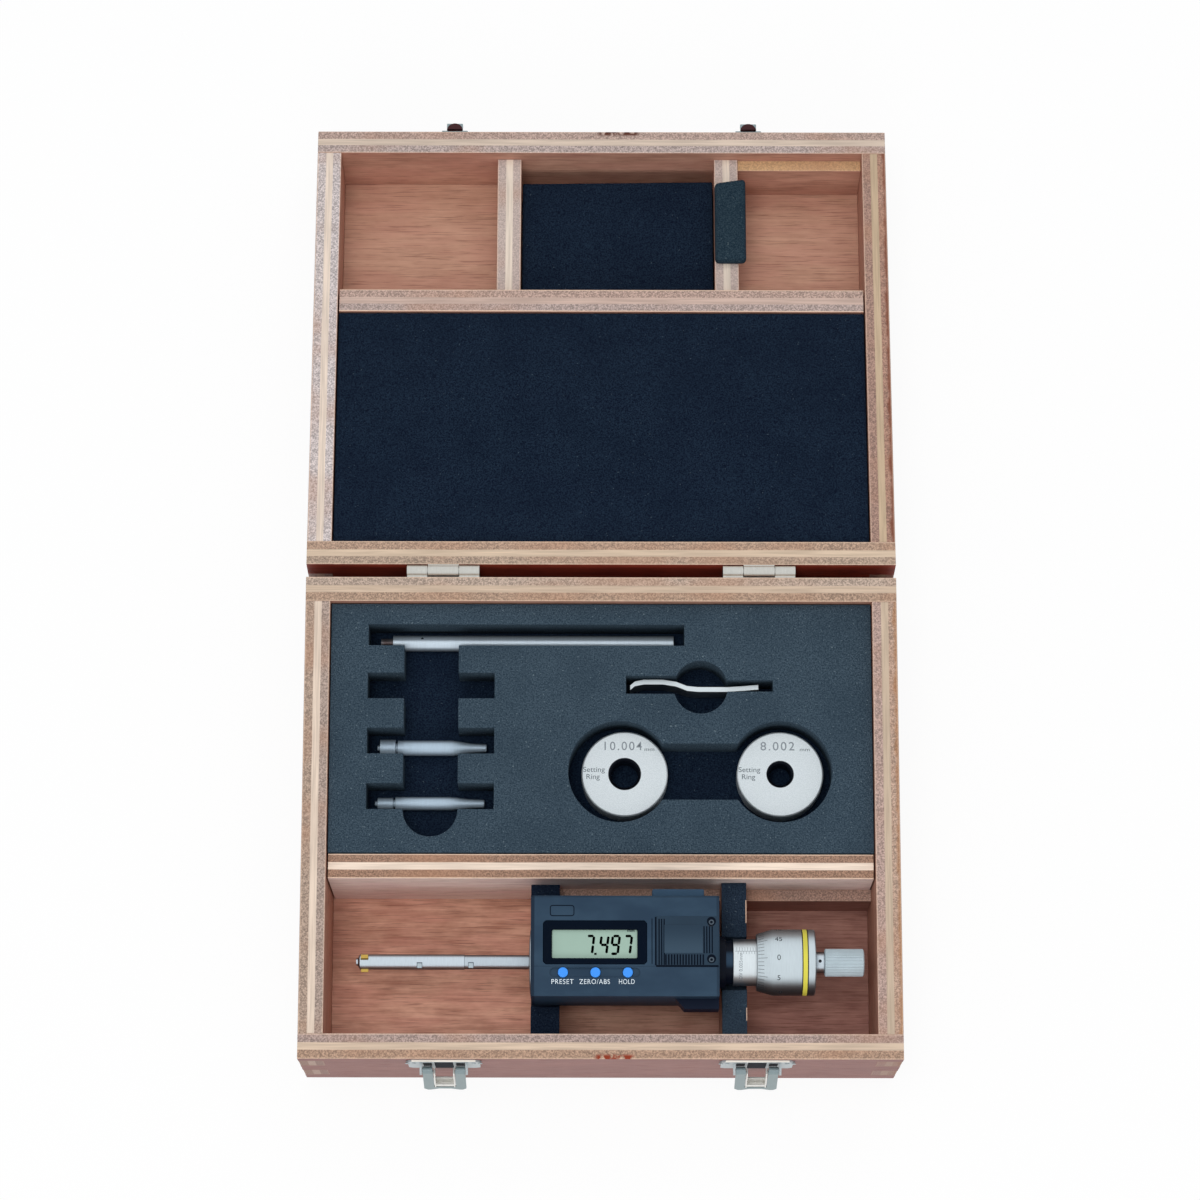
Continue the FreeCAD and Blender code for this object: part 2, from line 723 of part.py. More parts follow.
def hinge_half(prefix, walls, spans, up, in_lid):
    """The two leaves of one shell, their screws and the back wall that is drilled for them."""
    leaves = []
    screws = []
    for side, direction in SIDES:
        centre = f"({direction} * hinge_centre)"
        leaves.append(hinge_leaf(f"{prefix}_{side}_leaf", centre, spans, up))
        for place in (-1, 0, 1):
            screws.append(screw(f"{prefix}_{side}_screw_{place + 1}", f"{centre} + {place} * hinge_screw_pitch",
                                f"base_height + {up} * hinge_screw_drop"))
    holes = group(f"{prefix}_screw_holes", screws)
    drilled = [minus(f"{leaf.Name}_drilled", leaf, holes) for leaf in leaves]
    keep(seat(group(f"hinge_{prefix}_leaves_set", drilled), in_lid=in_lid), f"hinge_{prefix}_leaves")
    keep(seat(group(f"{prefix}_screw_set", screws), in_lid=in_lid), f"{prefix}_hinge_screws")
    back = minus(f"{prefix}_back_drilled", walls["back"], holes)
    keep(seat(back, in_lid=in_lid), f"{prefix}_back_panel")


outer_spans = ((f"-{HINGE_HALF}", f"-{MIDDLE_HALF} - knuckle_gap"), (f"{MIDDLE_HALF} + knuckle_gap", HINGE_HALF))
hinge_half("base", base_walls, outer_spans, -1, False)
hinge_half("lid", lid_walls, ((f"-{MIDDLE_HALF}", MIDDLE_HALF),), 1, True)

pins = []
for side, direction in SIDES:
    centre = f"{direction} * hinge_centre"
    pins.append(padded_body(f"{side}_hinge_pin", "YZ", [(HINGE_Y, "base_height", "hinge_pin_radius")],
                            f"{centre} - {HINGE_HALF}", f"{centre} + {HINGE_HALF}"))
keep(group("hinge_pin_set", pins), "hinge_pins")


# ---------------------------------------------------------------- draw latches

PLATE_FACE = "(-case_width / 2 - latch_sheet)"
PLATE_TOP = f"({LATCH_Z} + latch_plate_rise)"
PLATE_BOTTOM = f"({PLATE_TOP} - latch_plate_height)"
WINDOW_HALF = "(lever_window / 2)"
LEVER_HALF = "(lever_width / 2)"
EAR_START = "(lever_width / 2 + ear_gap)"
EAR_END = "(lever_width / 2 + ear_gap + latch_sheet)"
CATCH_LIP_FACE = f"({LATCH_Y} + loop_pivot_inset - catch_play)"
LOOP_PIVOT_Z = f"({LATCH_Z} - loop_pivot_drop)"


def both_ways(start, end, centre="0"):
    """The same stretch to the right and to the left of a centre."""
    return ((f"{centre} + ({start})", f"{centre} + ({end})"), (f"{centre} - ({end})", f"{centre} - ({start})"))


def latch_plate(side, centre):
    """The fixed plate with two ears that hold stub pins for the lever."""
    half = "latch_plate_length / 2"
    right = [(f"{centre} + {half} - latch_plate_corner", PLATE_BOTTOM),
             (f"{centre} + {half}", f"{PLATE_BOTTOM} + latch_plate_corner"),
             (f"{centre} + {half}", f"{PLATE_TOP} - latch_plate_corner"),
             (f"{centre} + {half} - latch_plate_corner", PLATE_TOP)]
    left = [(f"{centre} - {half} + latch_plate_corner", PLATE_TOP),
            (f"{centre} - {half}", f"{PLATE_TOP} - latch_plate_corner"),
            (f"{centre} - {half}", f"{PLATE_BOTTOM} + latch_plate_corner"),
            (f"{centre} - {half} + latch_plate_corner", PLATE_BOTTOM)]
    body = padded_body(f"{side}_latch_plate", "XZ", [right + left], PLATE_FACE, f"-{HALF_WIDTH}")
    for ear_x in both_ways(EAR_START, EAR_END, centre):
        pad(body, "YZ", [block((LATCH_Y, PLATE_FACE), (f"{LATCH_Z} - ear_radius", f"{LATCH_Z} + ear_radius"))],
            *ear_x)
        pad(body, "YZ", [(LATCH_Y, LATCH_Z, "ear_radius")], *ear_x)
    for pin_x in both_ways(f"{WINDOW_HALF} + 2 * ear_gap", EAR_END, centre):
        pad(body, "YZ", [(LATCH_Y, LATCH_Z, "latch_pin_radius")], *pin_x)
    return body


def rivet(name, x, z):
    """A small rivet through a latch plate into the front wall."""
    head = primitive("Part::Cylinder", name + "_head", Radius="rivet_head", Height="rivet_head_height")
    shank = primitive("Part::Cylinder", name + "_shank", Radius="rivet_radius",
                      Height="rivet_length + latch_sheet")
    seat(head, x, f"{PLATE_FACE} - rivet_head_height", z, angle=BACKWARDS)
    seat(shank, x, PLATE_FACE, z, angle=BACKWARDS)
    return joined(name, [head, shank])


def latch_lever(side, centre):
    """The lever, drawn hanging straight down from its pivot, with an open window for the loop."""
    lever = f"{side}_latch_lever"
    half_sheet = "latch_sheet / 2"
    shoulder = "-(lever_knuckle - latch_sheet)"
    corners = [(WINDOW_HALF, shoulder), (WINDOW_HALF, "-(loop_pivot_drop + loop_reach + ear_gap)")]
    inner = [(f"-{x}", y) for x, y in reversed(corners)]
    edge = [(f"-{LEVER_HALF}", shoulder), (f"-{LEVER_HALF}", "-lever_length + lever_corner"),
            (f"-{LEVER_HALF} + lever_corner", "-lever_length"),
            (f"-{WINDOW_HALF} - lever_corner", "-lever_length"), ("-lever_waist", "-lever_length + lever_rise"),
            ("lever_waist", "-lever_length + lever_rise"), (f"{WINDOW_HALF} + lever_corner", "-lever_length"),
            (f"{LEVER_HALF} - lever_corner", "-lever_length"), (LEVER_HALF, "-lever_length + lever_corner"),
            (LEVER_HALF, shoulder)]
    body = padded_body(lever, "XZ", [edge + corners + inner], f"-{half_sheet}", half_sheet)
    for arm_x in both_ways(f"({WINDOW_HALF} + ear_gap)", LEVER_HALF):
        pad(body, "YZ", [("0", "0", "lever_knuckle")], *arm_x)
        pocket(body, "YZ", [("0", "0", "latch_pin_radius + latch_pin_play")], *arm_x)
    for lug_x in both_ways(WINDOW_HALF, f"({WINDOW_HALF} + latch_sheet)"):
        pad(body, "YZ", [("loop_pivot_inset", "-loop_pivot_drop", "loop_lug_radius")], *lug_x)
        pocket(body, "YZ", [("loop_pivot_inset", "-loop_pivot_drop", "loop_pin_radius + loop_pin_play")], *lug_x)
    return keep(seat(body, centre, LATCH_Y, LATCH_Z, angle="-lever_tilt"), lever)


def latch_loop(side, centre):
    """The loop, drawn hanging from its own pivot inside the lever's window; its curl hooks the catch."""
    loop = f"{side}_latch_loop"
    half = "(loop_width / 2)"
    end = "-loop_reach"
    cap = "(-loop_reach + loop_sheet)"
    whole = (f"-{half}", half)
    body = padded_body(loop, "YZ", [block(("-loop_curl_in", "loop_out"), (end, cap))], *whole)
    pad(body, "YZ", [block(("loop_out - loop_sheet", "loop_out"), (cap, f"{cap} + loop_plate_length"))], *whole)
    pad(body, "YZ", [block(("-loop_curl_in", "-loop_curl_in + loop_sheet"), (cap, f"{cap} + loop_curl_length"))],
        *whole)
    for flange_x in both_ways(f"({half} - loop_sheet)", half):
        pad(body, "YZ", [block(("-loop_in", "loop_out"), (end, "loop_in"))], *flange_x)
    for pin_x in both_ways(f"({half} - loop_sheet)", f"({WINDOW_HALF} + latch_sheet - ear_gap / 2)"):
        pad(body, "YZ", [("0", "0", "loop_pin_radius")], *pin_x)
    y = f"{LATCH_Y} + loop_pivot_inset * cos(lever_tilt) - loop_pivot_drop * sin(lever_tilt)"
    z = f"{LATCH_Z} - loop_pivot_inset * sin(lever_tilt) - loop_pivot_drop * cos(lever_tilt)"
    return keep(seat(body, centre, y, z, angle="-lever_tilt"), loop)


def lid_catch(side, centre):
    """A small plate on the lid's front wall with a lip that points up when the lid is shut."""
    half = "catch_width / 2"
    bottom = "(base_height + catch_rise)"
    lip_top = f"({LOOP_PIVOT_Z} + loop_reach - loop_sheet - catch_lip_play)"
    lip_back = CATCH_LIP_FACE
    lip_front = f"({lip_back} - catch_sheet)"
    body = padded_body(f"{side}_lid_catch", "XZ",
                       [block((f"{centre} - {half}", f"{centre} + {half}"),
                              (bottom, "base_height + catch_height"))],
                       PLATE_FACE, f"-{HALF_WIDTH}")
    hook = [(PLATE_FACE, bottom), (lip_front, bottom), (lip_front, lip_top), (lip_back, lip_top),
            (lip_back, f"{bottom} + catch_sheet"), (PLATE_FACE, f"{bottom} + catch_sheet")]
    lip_half = "catch_lip_width / 2"
    pad(body, "YZ", [hook], f"{centre} - {lip_half}", f"{centre} + {lip_half}")
    return body


plates = []
rivets = []
catches = []
for side, direction in SIDES:
    centre = f"({direction} * latch_centre)"
    plates.append(latch_plate(side, centre))
    catches.append(lid_catch(side, centre))
    latch_lever(side, centre)
    latch_loop(side, centre)
    for place in (-1, 1):
        for row, inset in enumerate(("rivet_inset", "rivet_inset + rivet_pitch")):
            rivets.append(rivet(f"{side}_rivet_{row}_{place + 1}",
                                f"{centre} + {place} * (latch_plate_length / 2 - {inset})",
                                f"{PLATE_TOP} - rivet_drop"))
rivet_holes = group("rivet_holes", rivets)
keep(group("latch_plate_set", [minus(plate.Name + "_drilled", plate, rivet_holes) for plate in plates]),
     "latch_plates")
keep(group("rivet_set", rivets), "latch_rivets")
keep(minus("base_front_drilled", base_walls["front"], rivet_holes), "base_front_panel")
keep(seat(lid_walls["front"], in_lid=True), "lid_front_panel")
keep(seat(group("catch_set", catches), in_lid=True), "lid_catches")


# ---------------------------------------------------------------- micrometer, drawn about its own axis

SPINDLE_BORE = "(spindle_radius + spindle_play)"
COVER_FLOOR = "(readout_face - bezel_depth)"
MIDDLE_X = by_right_wall("0")
HEAD_START = f"(head_room + nose_length - {INNER_X} - {MIDDLE_X})"
STEM_START = f"({HEAD_START} + head_body_length)"
CONTACT_START = f"({HEAD_START} + contact_setback)"
CONE_START = f"({HEAD_START} + cone_setback)"


def on_axis(piece, label):
    return keep(seat(piece, MIDDLE_X, "-axis_front", "axis_height"), label)


def readout_body():
    """The lower housing, bored for the spindle, with a stepped collar that lies in the right cradle."""
    section = [("readout_rear", "readout_split"), ("readout_rear", "-readout_back + readout_bevel"),
               ("readout_rear - readout_bevel", "-readout_back"),
               ("-readout_front + readout_bevel", "-readout_back"),
               ("-readout_front", "-readout_back + readout_bevel"), ("-readout_front", "readout_split")]
    body = padded_body("readout_body_form", "YZ", [section], "readout_left", "readout_right")
    hump = [("hump_start", "-readout_front"), ("hump_start + hump_bevel", "-readout_front - hump_reach"),
            ("readout_right", "-readout_front - hump_reach"), ("readout_right", "-readout_front")]
    pad(body, "XY", [hump], "readout_split - hump_depth", "readout_split")
    pad(body, "YZ", [("0", "0", "collar_radius")], "readout_right", "readout_right + collar_length")
    pad(body, "YZ", [("0", "0", "collar_step_radius")], "readout_right + collar_length", "sleeve_start")
    pocket(body, "YZ", [("0", "0", SPINDLE_BORE)], "readout_left", "sleeve_start")
    return body


def readout_cover():
    """The upper housing: hollow below, with seats for the bezel, display, buttons and battery cover."""
    section = [("readout_rear", "readout_split"), ("readout_rear", "readout_face - readout_edge"),
               ("readout_rear - readout_edge", "readout_face"), ("-readout_crease", "readout_face"),
               ("-readout_front + readout_edge", "readout_face - readout_slope"),
               ("-readout_front", "readout_face - readout_slope - readout_edge"),
               ("-readout_front", "readout_split")]
    body = padded_body("readout_cover_form", "YZ", [section], "readout_left", "readout_right")
    hollow_x = ("readout_left + cover_wall", "readout_right - cover_wall")
    hollow_y = ("-readout_front + cover_wall", "readout_rear - cover_wall")
    pocket(body, "XY", [block(hollow_x, hollow_y)], "readout_split", "readout_face - cover_skin")
    pocket(body, "XY", [cut_corners(BEZEL_X, BEZEL_Y, "bezel_corner")], COVER_FLOOR, "readout_face")
    pocket(body, "XY", [block(DISPLAY_X, DISPLAY_Y)], f"{COVER_FLOOR} - display_thickness", "readout_face")
    pocket(body, "XY", [block(BATTERY_X, BATTERY_Y)], "readout_face - battery_depth", "readout_face")
    recess_y = ("-button_front - recess_radius", "-button_front + recess_radius")
    pocket(body, "XY", [block(("recess_left", "recess_right"), recess_y)], "recess_floor", "readout_face")
    for end in ("recess_left", "recess_right"):
        pocket(body, "XY", [(end, "-button_front", "recess_radius")], "recess_floor", "readout_face")
    for number in range(3):
        pocket(body, "XY", [(button_x(number), "-button_front", "button_radius + button_play")],
               "readout_split", "readout_face")
    for screw_x, screw_y in BATTERY_SCREWS:
        pocket(body, "XY", [(screw_x, screw_y, "battery_screw_radius")],
               "readout_face - cover_skin", "readout_face")
    return body


BEZEL_X = ("bezel_left", "bezel_left + bezel_length")
BEZEL_Y = ("bezel_front", "bezel_front + bezel_width")
DISPLAY_X = ("display_left - display_margin", "display_left + display_length + display_margin")
DISPLAY_Y = ("display_front - display_margin", "display_front + display_width + display_margin")
WINDOW_X = ("display_left", "display_left + display_length")
WINDOW_Y = ("display_front", "display_front + display_width")
BATTERY_X = ("battery_left", "battery_left + battery_length")
BATTERY_Y = ("battery_front", "battery_front + battery_width")
BATTERY_SCREWS = [("battery_left + battery_length - battery_screw_inset",
                   "battery_front + battery_width - battery_screw_inset"),
                  ("battery_left + battery_length - battery_screw_inset",
                   "battery_front + battery_screw_inset")]


def button_x(number):
    return f"(button_first + {number} * button_pitch)"


on_axis(readout_body(), "readout_body")
on_axis(readout_cover(), "readout_cover")

bezel = padded_body("bezel_frame", "XY", [cut_corners(BEZEL_X, BEZEL_Y, "bezel_corner")],
                    COVER_FLOOR, "readout_face")
pocket(bezel, "XY", [block(WINDOW_X, WINDOW_Y)], COVER_FLOOR, "readout_face")
on_axis(bezel, "display_bezel")
on_axis(board("display_plate", DISPLAY_X, DISPLAY_Y, (f"{COVER_FLOOR} - display_thickness", COVER_FLOOR)),
        "display_panel")

battery_z = ("readout_face - battery_depth", "readout_face")
battery_cover = board("battery_plate", BATTERY_X, BATTERY_Y, battery_z)
screws = []
for number, (screw_x, screw_y) in enumerate(BATTERY_SCREWS):
    pocket(battery_cover, "XY", [(screw_x, screw_y, "battery_screw_head")], *battery_z)
    fixing = padded_body(f"battery_screw_{number}", "XY", [(screw_x, screw_y, "battery_screw_head")], *battery_z)
    pad(fixing, "XY", [(screw_x, screw_y, "battery_screw_radius")],
        "readout_face - battery_screw_length", "readout_face")
    screws.append(fixing)
on_axis(battery_cover, "battery_cover")
on_axis(group("battery_screw_set", screws), "battery_cover_screws")

on_axis(board("connector_block", ("connector_left", "connector_left + connector_length"),
              ("readout_rear", "readout_rear + connector_reach"),
              ("connector_foot", "connector_foot + connector_height")), "connector_cap")

for number, name in enumerate(("preset_button", "zero_button", "hold_button")):
    skin_below = "(readout_face - cover_skin - button_flange_gap)"
    button = padded_body(name + "_form", "XY", [(button_x(number), "-button_front", "button_radius")],
                         f"{skin_below} - button_flange_thickness", "button_height")
    pad(button, "XY", [(button_x(number), "-button_front", "button_radius + button_flange")],
        f"{skin_below} - button_flange_thickness", skin_below)
    on_axis(button, name)

on_axis(turned("stem_form", [(STEM_START, "stem_radius"),
                             ("readout_left - flange_thickness", "stem_radius"),
                             ("readout_left - flange_thickness + flange_dish", "flange_shoulder"),
                             ("readout_left - flange_edge", "flange_radius"),
                             ("readout_left", "flange_radius")], SPINDLE_BORE), "stem")

head_form = turned("head_form", [(f"{HEAD_START} - nose_length", "nose_radius"), (HEAD_START, "nose_radius"),
                                 (f"{HEAD_START} + nose_bevel", "head_radius"), (STEM_START, "head_radius")])
pocket(head_form, "YZ", [("0", "0", SPINDLE_BORE)], HEAD_START, STEM_START)


def contact_angle_of(number):
    return f"(contact_angle + {120 * number})"


slots = []
for number in range(3):
    angle = contact_angle_of(number)
    half = "(contact_width / 2 + contact_play)"
    slot = primitive("Part::Box", f"contact_slot_{number}", Length="contact_length + 2 * contact_play",
                     Width="head_radius + contact_inner", Height=f"2 * {half}")
    seat(slot, f"{CONTACT_START} - contact_play", f"{half} * sin({angle})", f"-{half} * cos({angle})", angle=angle)
    slots.append(slot)
on_axis(minus("head_slotted", head_form, joined("contact_slots", slots)), "measuring_head")

for number in range(3):
    angle = contact_angle_of(number)
    half = "(contact_width / 2)"
    contact = primitive("Part::Box", f"contact_block_{number}", Length="contact_length",
                        Width="contact_radius - contact_inner", Height="contact_width")
    seat(contact, f"{MIDDLE_X} + {CONTACT_START}",
         f"-axis_front + contact_inner * cos({angle}) + {half} * sin({angle})",
         f"axis_height + contact_inner * sin({angle}) - {half} * cos({angle})", angle=angle)
    keep(contact, f"contact_pin_{number + 1}")

on_axis(turned("sleeve_form", [("sleeve_start", "sleeve_radius"),
                               ("thimble_end - thimble_wall - sleeve_end_gap", "sleeve_radius")], SPINDLE_BORE),
        "sleeve")
on_axis(turned("spindle_form", [(f"{CONE_START} - 2 * (spindle_radius - spindle_point)", "spindle_point"),
                                (CONE_START, "spindle_radius"),
                                ("thimble_end - thimble_play", "spindle_radius")]), "spindle")

thimble = turned("thimble_form", [("thimble_start", "thimble_edge_radius"),
                                  ("thimble_start + thimble_bevel", "thimble_radius"),
                                  ("thimble_end - edge_break", "thimble_radius"),
                                  ("thimble_end", "thimble_radius - edge_break")],
                 "spindle_radius + thimble_play")
pocket(thimble, "YZ", [("0", "0", "sleeve_radius + thimble_play")],
       "thimble_start", "thimble_end - thimble_wall")
on_axis(thimble, "thimble")

NECK_START = "(thimble_end + ratchet_gap)"
KNOB_START = f"({NECK_START} + ratchet_neck_length)"
KNOB_END = f"({KNOB_START} + ratchet_length)"
on_axis(turned("ratchet_form", [(NECK_START, "ratchet_neck_radius"), (KNOB_START, "ratchet_neck_radius"),
                                (KNOB_START, "ratchet_radius - edge_break"),
                                (f"{KNOB_START} + edge_break", "ratchet_radius"),
                                (f"{KNOB_END} - edge_break", "ratchet_radius"),
                                (KNOB_END, "ratchet_radius - edge_break")]), "ratchet")


# ---------------------------------------------------------------- loose pieces in the foam

LAY = f"({FOAM_FLOOR} + lay_play)"


def setting_ring(label, x, bore):
    """A gauge ring that lies flat: a turned washer with chamfered bore and broken outer edges."""
    top = "ring_thickness"
    corners = [(f"{bore} + ring_chamfer", "0"), ("ring_radius - edge_break", "0"),
               ("ring_radius", "edge_break"), ("ring_radius", f"{top} - edge_break"),
               ("ring_radius - edge_break", top), (f"{bore} + ring_chamfer", top),
               (bore, f"{top} - ring_chamfer"), (bore, "ring_chamfer")]
    body = new_body(label + "_form")
    sketch = new_sketch(body, "XZ", "0")
    outline(sketch, corners)
    feature = body.newObject("PartDesign::Revolution", label + "_turn")
    feature.Profile = sketch
    feature.ReferenceAxis = (sketch, ["V_Axis"])
    feature.Angle = 360
    return keep(seat(body, x, "ring_y", LAY), label)


setting_ring("setting_ring_large", by_right_wall("large_ring_x"), "large_bore")
setting_ring("setting_ring_small", by_right_wall("small_ring_x"), "small_bore")


def spare_head(label, left, radius, collar, row):
    """A spare measuring head: nose, collar that holds the contacts, groove, body and tapered tail."""
    groove = f"({radius} - head_groove_step)"
    collar_end = "(head_nose_length + head_collar_length)"
    groove_end = "(head_nose_length + head_collar_length + head_groove_length)"
    body = turned(label + "_form", [
        ("0", "head_nose_radius"), ("head_nose_length", "head_nose_radius"),
        ("head_nose_length", collar), (collar_end, collar), (collar_end, groove), (groove_end, groove),
        (groove_end, radius), ("head_shoulder", radius), ("head_neck", "head_neck_radius"),
        ("head_length", "head_tail_radius")])
    # It rests on the pocket's floor and leans to the pocket's front side.
    return keep(seat(body, by_left_wall(left), f"{head_row(row)} - head_lean", f"{LAY} + max({collar}; {radius})"),
                label)


spare_head("spare_head_large", "large_head_left", "large_head_radius", "large_head_collar", 1)
spare_head("spare_head_small", "small_head_left", "small_head_radius", "small_head_collar", 0)

rod = turned("rod_form", [("rod_left - rod_stub", "rod_stub_radius"), ("rod_left", "rod_stub_radius"),
                          ("rod_left", "rod_radius"), ("rod_right", "rod_radius")])
keep(seat(rod, by_left_wall("0"), "rod_y", f"{LAY} + rod_radius"), "extension_rod")

# The key is a bent strip on edge: (run from its left end, rise above its straight line) of each bend.
KEY_BENDS = ((0.0, 0.6), (1.8, 2.1), (5.2, 2.8), (12.2, 2.8), (17.2, 2.0), (21.2, 0.4), (25.2, 0.0),
             (36.2, 0.0), (42.2, 0.4), (47.8, 0.9))
lower = [(f"key_left + {run}", f"key_y + {rise} - key_thickness / 2") for run, rise in KEY_BENDS]
upper = [(f"key_left + {run}", f"key_y + {rise} + key_thickness / 2") for run, rise in reversed(KEY_BENDS)]
key = padded_body("key_strip", "XY", [lower + upper], LAY, f"{LAY} + key_height")
keep(seat(key, by_right_wall("0")), "thimble_key")


# ---------------------------------------------------------------- check and write

doc.recompute()
for thing in doc.Objects:
    if "Invalid" in thing.State or "Error" in thing.State:
        raise RuntimeError(f"{thing.Label} failed: {thing.State}")
for piece in parts:
    if piece.Shape.isNull() or not piece.Shape.isValid():
        raise RuntimeError(f"{piece.Label} has no valid shape")

os.makedirs("parts", exist_ok=True)
for piece in parts:
    piece.Shape.exportStep(os.path.join("parts", f"{piece.Label}.step"))
print(f"{len(parts)} sub-parts, lid dip {sheet.evalExpression(bound(LID_DIP))}")
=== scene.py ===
# %% [markdown]
# # Dressing a micrometer case
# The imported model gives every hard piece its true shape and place.  This lesson gives those pieces their
# finishes, makes the foam and the small printed or engraved details, and sets up the light and the camera.
# We start by loading the frame and noting the size of the box that it fills.

# %% Load the frame
import math

import bpy
from mathutils import Matrix, Vector


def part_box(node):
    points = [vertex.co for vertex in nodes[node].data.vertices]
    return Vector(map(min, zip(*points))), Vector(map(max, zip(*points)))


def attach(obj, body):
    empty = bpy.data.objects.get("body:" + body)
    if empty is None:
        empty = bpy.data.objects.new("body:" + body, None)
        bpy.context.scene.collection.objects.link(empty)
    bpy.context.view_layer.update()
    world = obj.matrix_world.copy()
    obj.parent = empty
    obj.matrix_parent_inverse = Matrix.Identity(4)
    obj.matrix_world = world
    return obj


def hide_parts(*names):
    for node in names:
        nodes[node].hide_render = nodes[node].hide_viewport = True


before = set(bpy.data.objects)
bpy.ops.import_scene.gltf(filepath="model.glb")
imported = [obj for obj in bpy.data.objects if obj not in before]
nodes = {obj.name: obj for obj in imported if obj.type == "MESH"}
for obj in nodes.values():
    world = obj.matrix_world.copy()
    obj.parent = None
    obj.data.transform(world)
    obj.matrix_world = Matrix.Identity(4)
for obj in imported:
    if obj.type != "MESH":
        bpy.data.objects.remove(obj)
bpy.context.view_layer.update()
MM = 0.001

# %% [markdown]
# A few helpers keep the later cells short.  An operator acts on whatever is selected, so each new piece starts
# from an empty selection.  `settled` moves a piece's place and turn into its mesh, because a finished piece has
# its object at the origin, as the loaded nodes do.

# %% Helpers for modelling
def clear_selection():
    bpy.ops.object.select_all(action="DESELECT")


def only(piece):
    clear_selection()
    piece.select_set(True)
    bpy.context.view_layer.objects.active = piece


def settled(piece, name=None):
    only(piece)
    bpy.ops.object.transform_apply(location=True, rotation=True, scale=True)
    if name:
        piece.name = name
    return piece


def edit(piece, kind="FACE"):
    only(piece)
    bpy.ops.object.mode_set(mode="EDIT")
    bpy.ops.mesh.select_mode(type=kind)


def leave_edit():
    bpy.ops.object.mode_set(mode="OBJECT")


def choose(piece, test, kind="FACE"):
    """Selects the faces or edges whose middle and direction pass a test, and enters edit mode."""
    edit(piece, kind)
    bpy.ops.mesh.select_all(action="DESELECT")
    leave_edit()
    mesh = piece.data
    if kind == "FACE":
        for face in mesh.polygons:
            face.select = bool(test(face.center, face.normal))
    else:
        for edge in mesh.edges:
            a, b = (mesh.vertices[i].co for i in edge.vertices)
            edge.select = bool(test((a + b) / 2, (b - a).normalized()))
    bpy.ops.object.mode_set(mode="EDIT")


def brick(name, x, y, z):
    """A block between two places along each axis, in millimetres."""
    clear_selection()
    bpy.ops.mesh.primitive_cube_add(size=1, location=[(a + b) / 2 * MM for a, b in (x, y, z)])
    piece = bpy.context.active_object
    piece.scale = [(b - a) * MM for a, b in (x, y, z)]
    return settled(piece, name)


AXIS_Y = -53.2     # the micrometer's own axis, in millimetres
AXIS_Z = 44.5


def rod(name, x, radius, sides):
    """A cylinder round the micrometer's axis between two places along X, in millimetres."""
    clear_selection()
    middle = (x[0] + x[1]) / 2 * MM, AXIS_Y * MM, AXIS_Z * MM
    bpy.ops.mesh.primitive_cylinder_add(vertices=sides, radius=radius * MM, depth=(x[1] - x[0]) * MM,
                                        location=middle, rotation=(0, math.pi / 2, 0))
    return settled(bpy.context.active_object, name)


def disc(name, x, y, z, radius):
    """A short upright cylinder between two heights, in millimetres."""
    clear_selection()
    bpy.ops.mesh.primitive_cylinder_add(vertices=48, radius=radius * MM, depth=(z[1] - z[0]) * MM,
                                        location=(x * MM, y * MM, (z[0] + z[1]) / 2 * MM))
    return settled(bpy.context.active_object, name)


SHARP = math.radians(30)     # an edge that turns more than this is rounded
SMOOTH = math.radians(40)    # an edge that turns less than this is shaded as a curve


def softened(piece, width, segments=2):
    """Rounds every sharp edge and applies the result."""
    only(piece)
    modifier = piece.modifiers.new("Soft edges", "BEVEL")
    modifier.width = width * MM
    modifier.segments = segments
    modifier.limit_method = "ANGLE"
    modifier.angle_limit = SHARP
    bpy.ops.object.modifier_apply(modifier=modifier.name)
    bpy.ops.object.shade_smooth_by_angle(angle=SMOOTH)
    return piece


def joined(name, pieces):
    clear_selection()
    for piece in pieces:
        piece.select_set(True)
    bpy.context.view_layer.objects.active = pieces[0]
    bpy.ops.object.join()
    pieces[0].name = name
    return pieces[0]


def fitted(piece, body, finish, slot, *stands_for):
    """Gives a finished piece its material and its body; slot is not used."""
    piece.data.materials.clear()
    piece.data.materials.append(finish)
    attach(piece, body)
    if stands_for:
        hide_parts(*stands_for)
    return piece


# %% [markdown]
# Shader sums are easier to read as Python.  `Wire` wraps one socket and turns `+`, `-`, `*` and `/` into Math
# nodes.  `Finish` is a material under construction: its `node` method adds any other node.  Colours are written
# as the eye names them, from 0 to 255, and `rgb` turns them into the linear values that the renderer wants.

# %% Shader maths
class Wire:
    """A socket that can be used in sums."""

    def __init__(self, finish, socket):
        self.finish = finish
        self.socket = socket

    def sum(self, operation, other=None, first=None):
        values = {0: self if first is None else first}
        if other is not None:
            values[1] = other
        return self.finish.node("Math", {"operation": operation}, values)

    def __add__(self, other):
        return self.sum("ADD", other)

    def __sub__(self, other):
        return self.sum("SUBTRACT", other)

    def __rsub__(self, other):
        return self.sum("SUBTRACT", self, first=other)

    def __mul__(self, other):
        return self.sum("MULTIPLY", other)

    def __truediv__(self, other):
        return self.sum("DIVIDE", other)

    def __gt__(self, other):
        return self.sum("GREATER_THAN", other)

    def __abs__(self):
        return self.sum("ABSOLUTE")

    __radd__ = __add__
    __rmul__ = __mul__

    def smooth(self, low, high):
        """0 below the low value, 1 above the high one, and a soft step between."""
        return self.finish.node("MapRange", {"interpolation_type": "SMOOTHSTEP"},
                                {"Value": self, "From Min": low, "From Max": high})


